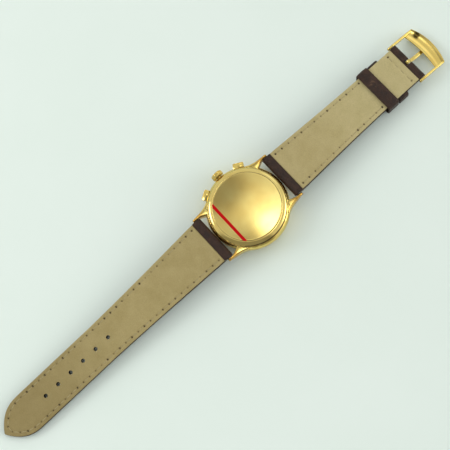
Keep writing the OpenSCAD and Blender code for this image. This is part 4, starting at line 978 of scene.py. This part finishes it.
# %% Lugs
TIP_R, TIP_EASE, BODY_R, LUG_GAP, PIN_L, PIN_HOLE_R = 1.15, 0.03, 15.3, 20.5, 0.7, 0.45
LUG_START, LUG_ROUND, LUG_ROUND_X, LUG_ROUND_Z, UNDER_TO = 10.85, 0.75, (0.3, 0.48), 0.45, BAR_Y + 0.25


def bend(a, b, c):
    """Points along a curve from a to c that is pulled towards b."""
    t = np.linspace(0, 1, 25)[:, None]
    return np.array(a) * (1 - t) ** 2 + np.array(b) * 2 * t * (1 - t) + np.array(c) * t ** 2


PLAN_IN = np.array(((11.0, 8.65), (13.63, 8.65), (16.2, 9.9), (17.2, 10.25), (20.2, 10.25)))
PLAN_OUT = bend((13.33, 10.79), (11.45, 13.55), (11.3, 20.1))
UNDER = bend((12, 3.3), (BAR_Y - 1.6, 3.5), (UNDER_TO, BAR_Z - TIP_R + 0.02))


def lug_section(y):
    """A rounded section across a lug, as x, y and z in mm."""
    inner = max(np.interp(y, PLAN_IN[:, 0], PLAN_IN[:, 1]), sqrt(max(BODY_R ** 2 - y ** 2, 0)))
    outer = np.interp(y, PLAN_OUT[:, 1], PLAN_OUT[:, 0])
    cap = sqrt(max(TIP_R ** 2 - max(y - BAR_Y, 0) ** 2, 0))
    top = BAR_Z + cap - TIP_EASE
    if y <= BAR_Y:
        top = np.interp(y, (8, BAR_Y), (7.8, BAR_Z + TIP_R - TIP_EASE))
    low = BAR_Z - cap + TIP_EASE if y > UNDER_TO else np.interp(y, UNDER[:, 0], UNDER[:, 1])
    low_r, top_r = (min(part * (outer - inner), LUG_ROUND, LUG_ROUND_Z * (top - low)) for part in LUG_ROUND_X)
    return [(x, y, z) for x, z in rounded(inner, outer, low, top, 7, low_r, top_r)]


round_end = BAR_Y + TIP_R * np.sin(np.radians(np.linspace(10, 80, 8)))
stations = np.concatenate([np.linspace(LUG_START, BAR_Y, 22), round_end])
lug_skin = np.array([lug_section(y) for y in stations]) * MM
lugs = [loft("lug", lug_skin * (mx, my, 1)) for mx in (1, -1) for my in (1, -1)]
print(len(lugs), "lugs of", len(stations), "sections")

# %% [markdown]
# ## Case, crown, pushers and tongue
# These keep the CAD form. A merged copy gets a small bevel on every sharp edge, because a polishing wheel
# never leaves one sharp, and the bevel is what catches the light. The band of the case takes the lofted
# lugs, and a roof over each pusher pocket, under which the cap slides in.

# %% Polished copies
BAND_R, BAND_MID, BAND_HALF, BAND_LOW, BAND_HIGH = 17.25, 5.4, 2.8, 2.3, 8.5
ROOF_IN, ROOF_TOP, ROOF_GAP, BEVEL_FROM = 15.4, 8.19, 0.12, radians(38)


def draw_in(u):
    """How far the band draws in: u is -1 at its edge by the bezel and 1 at its edge by the back."""
    return np.where(u < 0, 0.8 * np.abs(u) ** 2.6, 1.1 * np.abs(u) ** 3.2)


lift = np.concatenate([np.linspace(-1, 0, 9), np.linspace(0.1, 1, 10)])
band = [(BAND_R + 0.004 - d, BAND_MID + BAND_HALF * u) for u, d in zip(lift, draw_in(lift))]
band = [(0, BAND_LOW), (band[0][0], BAND_LOW)] + band + [(band[-1][0], BAND_HIGH), (0, BAND_HIGH)]
band_only = turned("band", band, 256)
cap_top = points_of(frame["nodes"]["start_pusher"])[:, 2].max() / MM
roof_z = np.linspace(cap_top + ROOF_GAP, ROOF_TOP, 8)
roof_r = BAND_R - 0.01 - draw_in((roof_z - BAND_MID) / BAND_HALF)
roof = turned("roof", [(ROOF_IN, ROOF_TOP), (ROOF_IN, cap_top + ROOF_GAP)] + list(zip(roof_r, roof_z)))
print("pusher caps end at", round(cap_top, 2), "mm")
POLISHED = {
    "case_middle": ("case", 0.08, gold_case), "crown": ("crown", 0.05, gold_polished),
    "start_pusher": ("start_pusher", 0.12, gold_polished),
    "reset_pusher": ("reset_pusher", 0.12, gold_polished),
    "buckle_tongue": ("tongue", 0.12, gold_polished),
}
for node, (body, width, finish) in POLISHED.items():
    piece = from_node(node, node + "_polished")
    if node == "case_middle":
        boolean(piece, band_only, operation="INTERSECT")
        boolean(piece, roof, *lugs, operation="UNION")
        bars = [Vector((0, side * BAR_Y, BAR_Z)) * MM for side in (1, -1)]
        boolean(piece, *[rod(bar, (1, 0, 0), PIN_HOLE_R * MM, (LUG_GAP + 2 * PIN_L) * MM) for bar in bars])
    modify(piece, "BEVEL", width=width * MM, segments=2, limit_method="ANGLE", angle_limit=BEVEL_FROM,
           use_clamp_overlap=True, harden_normals=True)
    dress(piece, 34, body, "gold", finish, node=node)

# %% [markdown]
# ## Finishes of the other CAD parts
# The record names a material slot for every part. Each part that is still shown takes the finish of its slot.

# %% Finishes by slot
FINISH = {"gold": gold_polished, "steel": steel, "blued_steel": blued_steel, "movement_brass": movement_brass,
          "crystal": acrylic, "gasket": gasket_rubber, "dial": dial_lacquer, "red_film": red_film,
          "leather": calf_brown, "lining": lining_short}
for part in frame["record"]["subparts"]:
    for holder in frame["nodes"][part["node"]].material_slots:
        holder.material = FINISH[part["material_slot"]]

# %% [markdown]
# ## Floor, world and lamps
# The watch lies on a pale, matt sheet in a soft, bright room. Polished gold shows that room, so the room
# has patches: a wide, bright one low at the picture's right and a small one nearly straight above, which
# give the back its fall from near white to olive. The quarter beyond the picture's lower edge is unlit.
# One soft lamp at the picture's left casts the shadow.

# %% Floor, world and lamps
FLOOR_SIZE, FLOOR_Z = 6, -0.0001
ROOM, UNLIT = 0.86, 0.34
# Patches of the room: direction, the angles in degrees where each begins and is full, and brightness
PATCHES = (
    ((0.62, 0.74, 0.27), 34, 15, 1.7), ((0.61, 0.72, 0.33), 19, 9, 5.0),
    ((-0.30, 0.70, 0.65), 14, 5, 1.4), ((-0.35, 0.03, 0.94), 9, 3, 0.38),
    ((-0.065, 0.10, 0.99), 13, 2, 1.6), ((-0.065, 0.10, 0.99), 5.2, 0, 5.5),
)
UNLIT_X, UNLIT_Y = (-0.28, -0.04), (0.09, -0.03)
LAMP_AT, LAMP_SIZE, LAMP_WATTS = (-0.65, -0.63, 0.55), 0.53, 3.0

bpy.ops.mesh.primitive_plane_add(size=FLOOR_SIZE)
floor = bpy.context.active_object
floor.name = "floor"
floor.location = (0, 0, FLOOR_Z)
paper, shader, mm = new_material("paper_pale_mint", Roughness=0.9, Specular_IOR_Level=0.1)
pulp = noise(mm, 60, 3)
plug(shader, Base_Color=ramp(pulp, "#E6F1E9", "#E9F3EC"))
floor.data.materials.append(paper)

world = bpy.data.worlds.new("studio")
bpy.context.scene.world = world
world.use_nodes = True
tree = world.node_tree
tree.nodes.clear()
way = add(tree, "TexCoord").outputs["Generated"]


def towards_level(inside, before, value):
    """The room's brightness, with one value inside a patch."""
    return add(tree, "Mix", {"data_type": "FLOAT"}, i0=inside, i2=before, i3=value).outputs[0]


brightness = ROOM
for centre, begins, full, value in PATCHES:
    toward = add(tree, "VectorMath", {"operation": "DOT_PRODUCT"}, i0=way, i1=Vector(centre).normalized())
    edge, core = (cos(radians(a)) for a in (begins, full))
    brightness = towards_level(step_up(toward.outputs["Value"], edge, core), brightness, value)
sides = add(tree, "SeparateXYZ", Vector=way).outputs
corner = calc("MULTIPLY", step_up(sides[0], *UNLIT_X), step_up(sides[1], *UNLIT_Y))
brightness = towards_level(corner, brightness, UNLIT)
back_light = add(tree, "Background", Color="#F9FBF9", Strength=brightness)
add(tree, "OutputWorld", Surface=back_light.outputs[0])

lamp_data = bpy.data.lights.new("softbox", "AREA")
lamp_data.shape = "DISK"
lamp_data.size = LAMP_SIZE
lamp_data.energy = LAMP_WATTS
lamp = bpy.data.objects.new("softbox", lamp_data)
bpy.context.scene.collection.objects.link(lamp)
lamp.location = LAMP_AT
lamp.rotation_euler = (-lamp.location).to_track_quat("-Z", "Y").to_euler()
bpy.context.scene.view_settings.view_transform = "Standard"
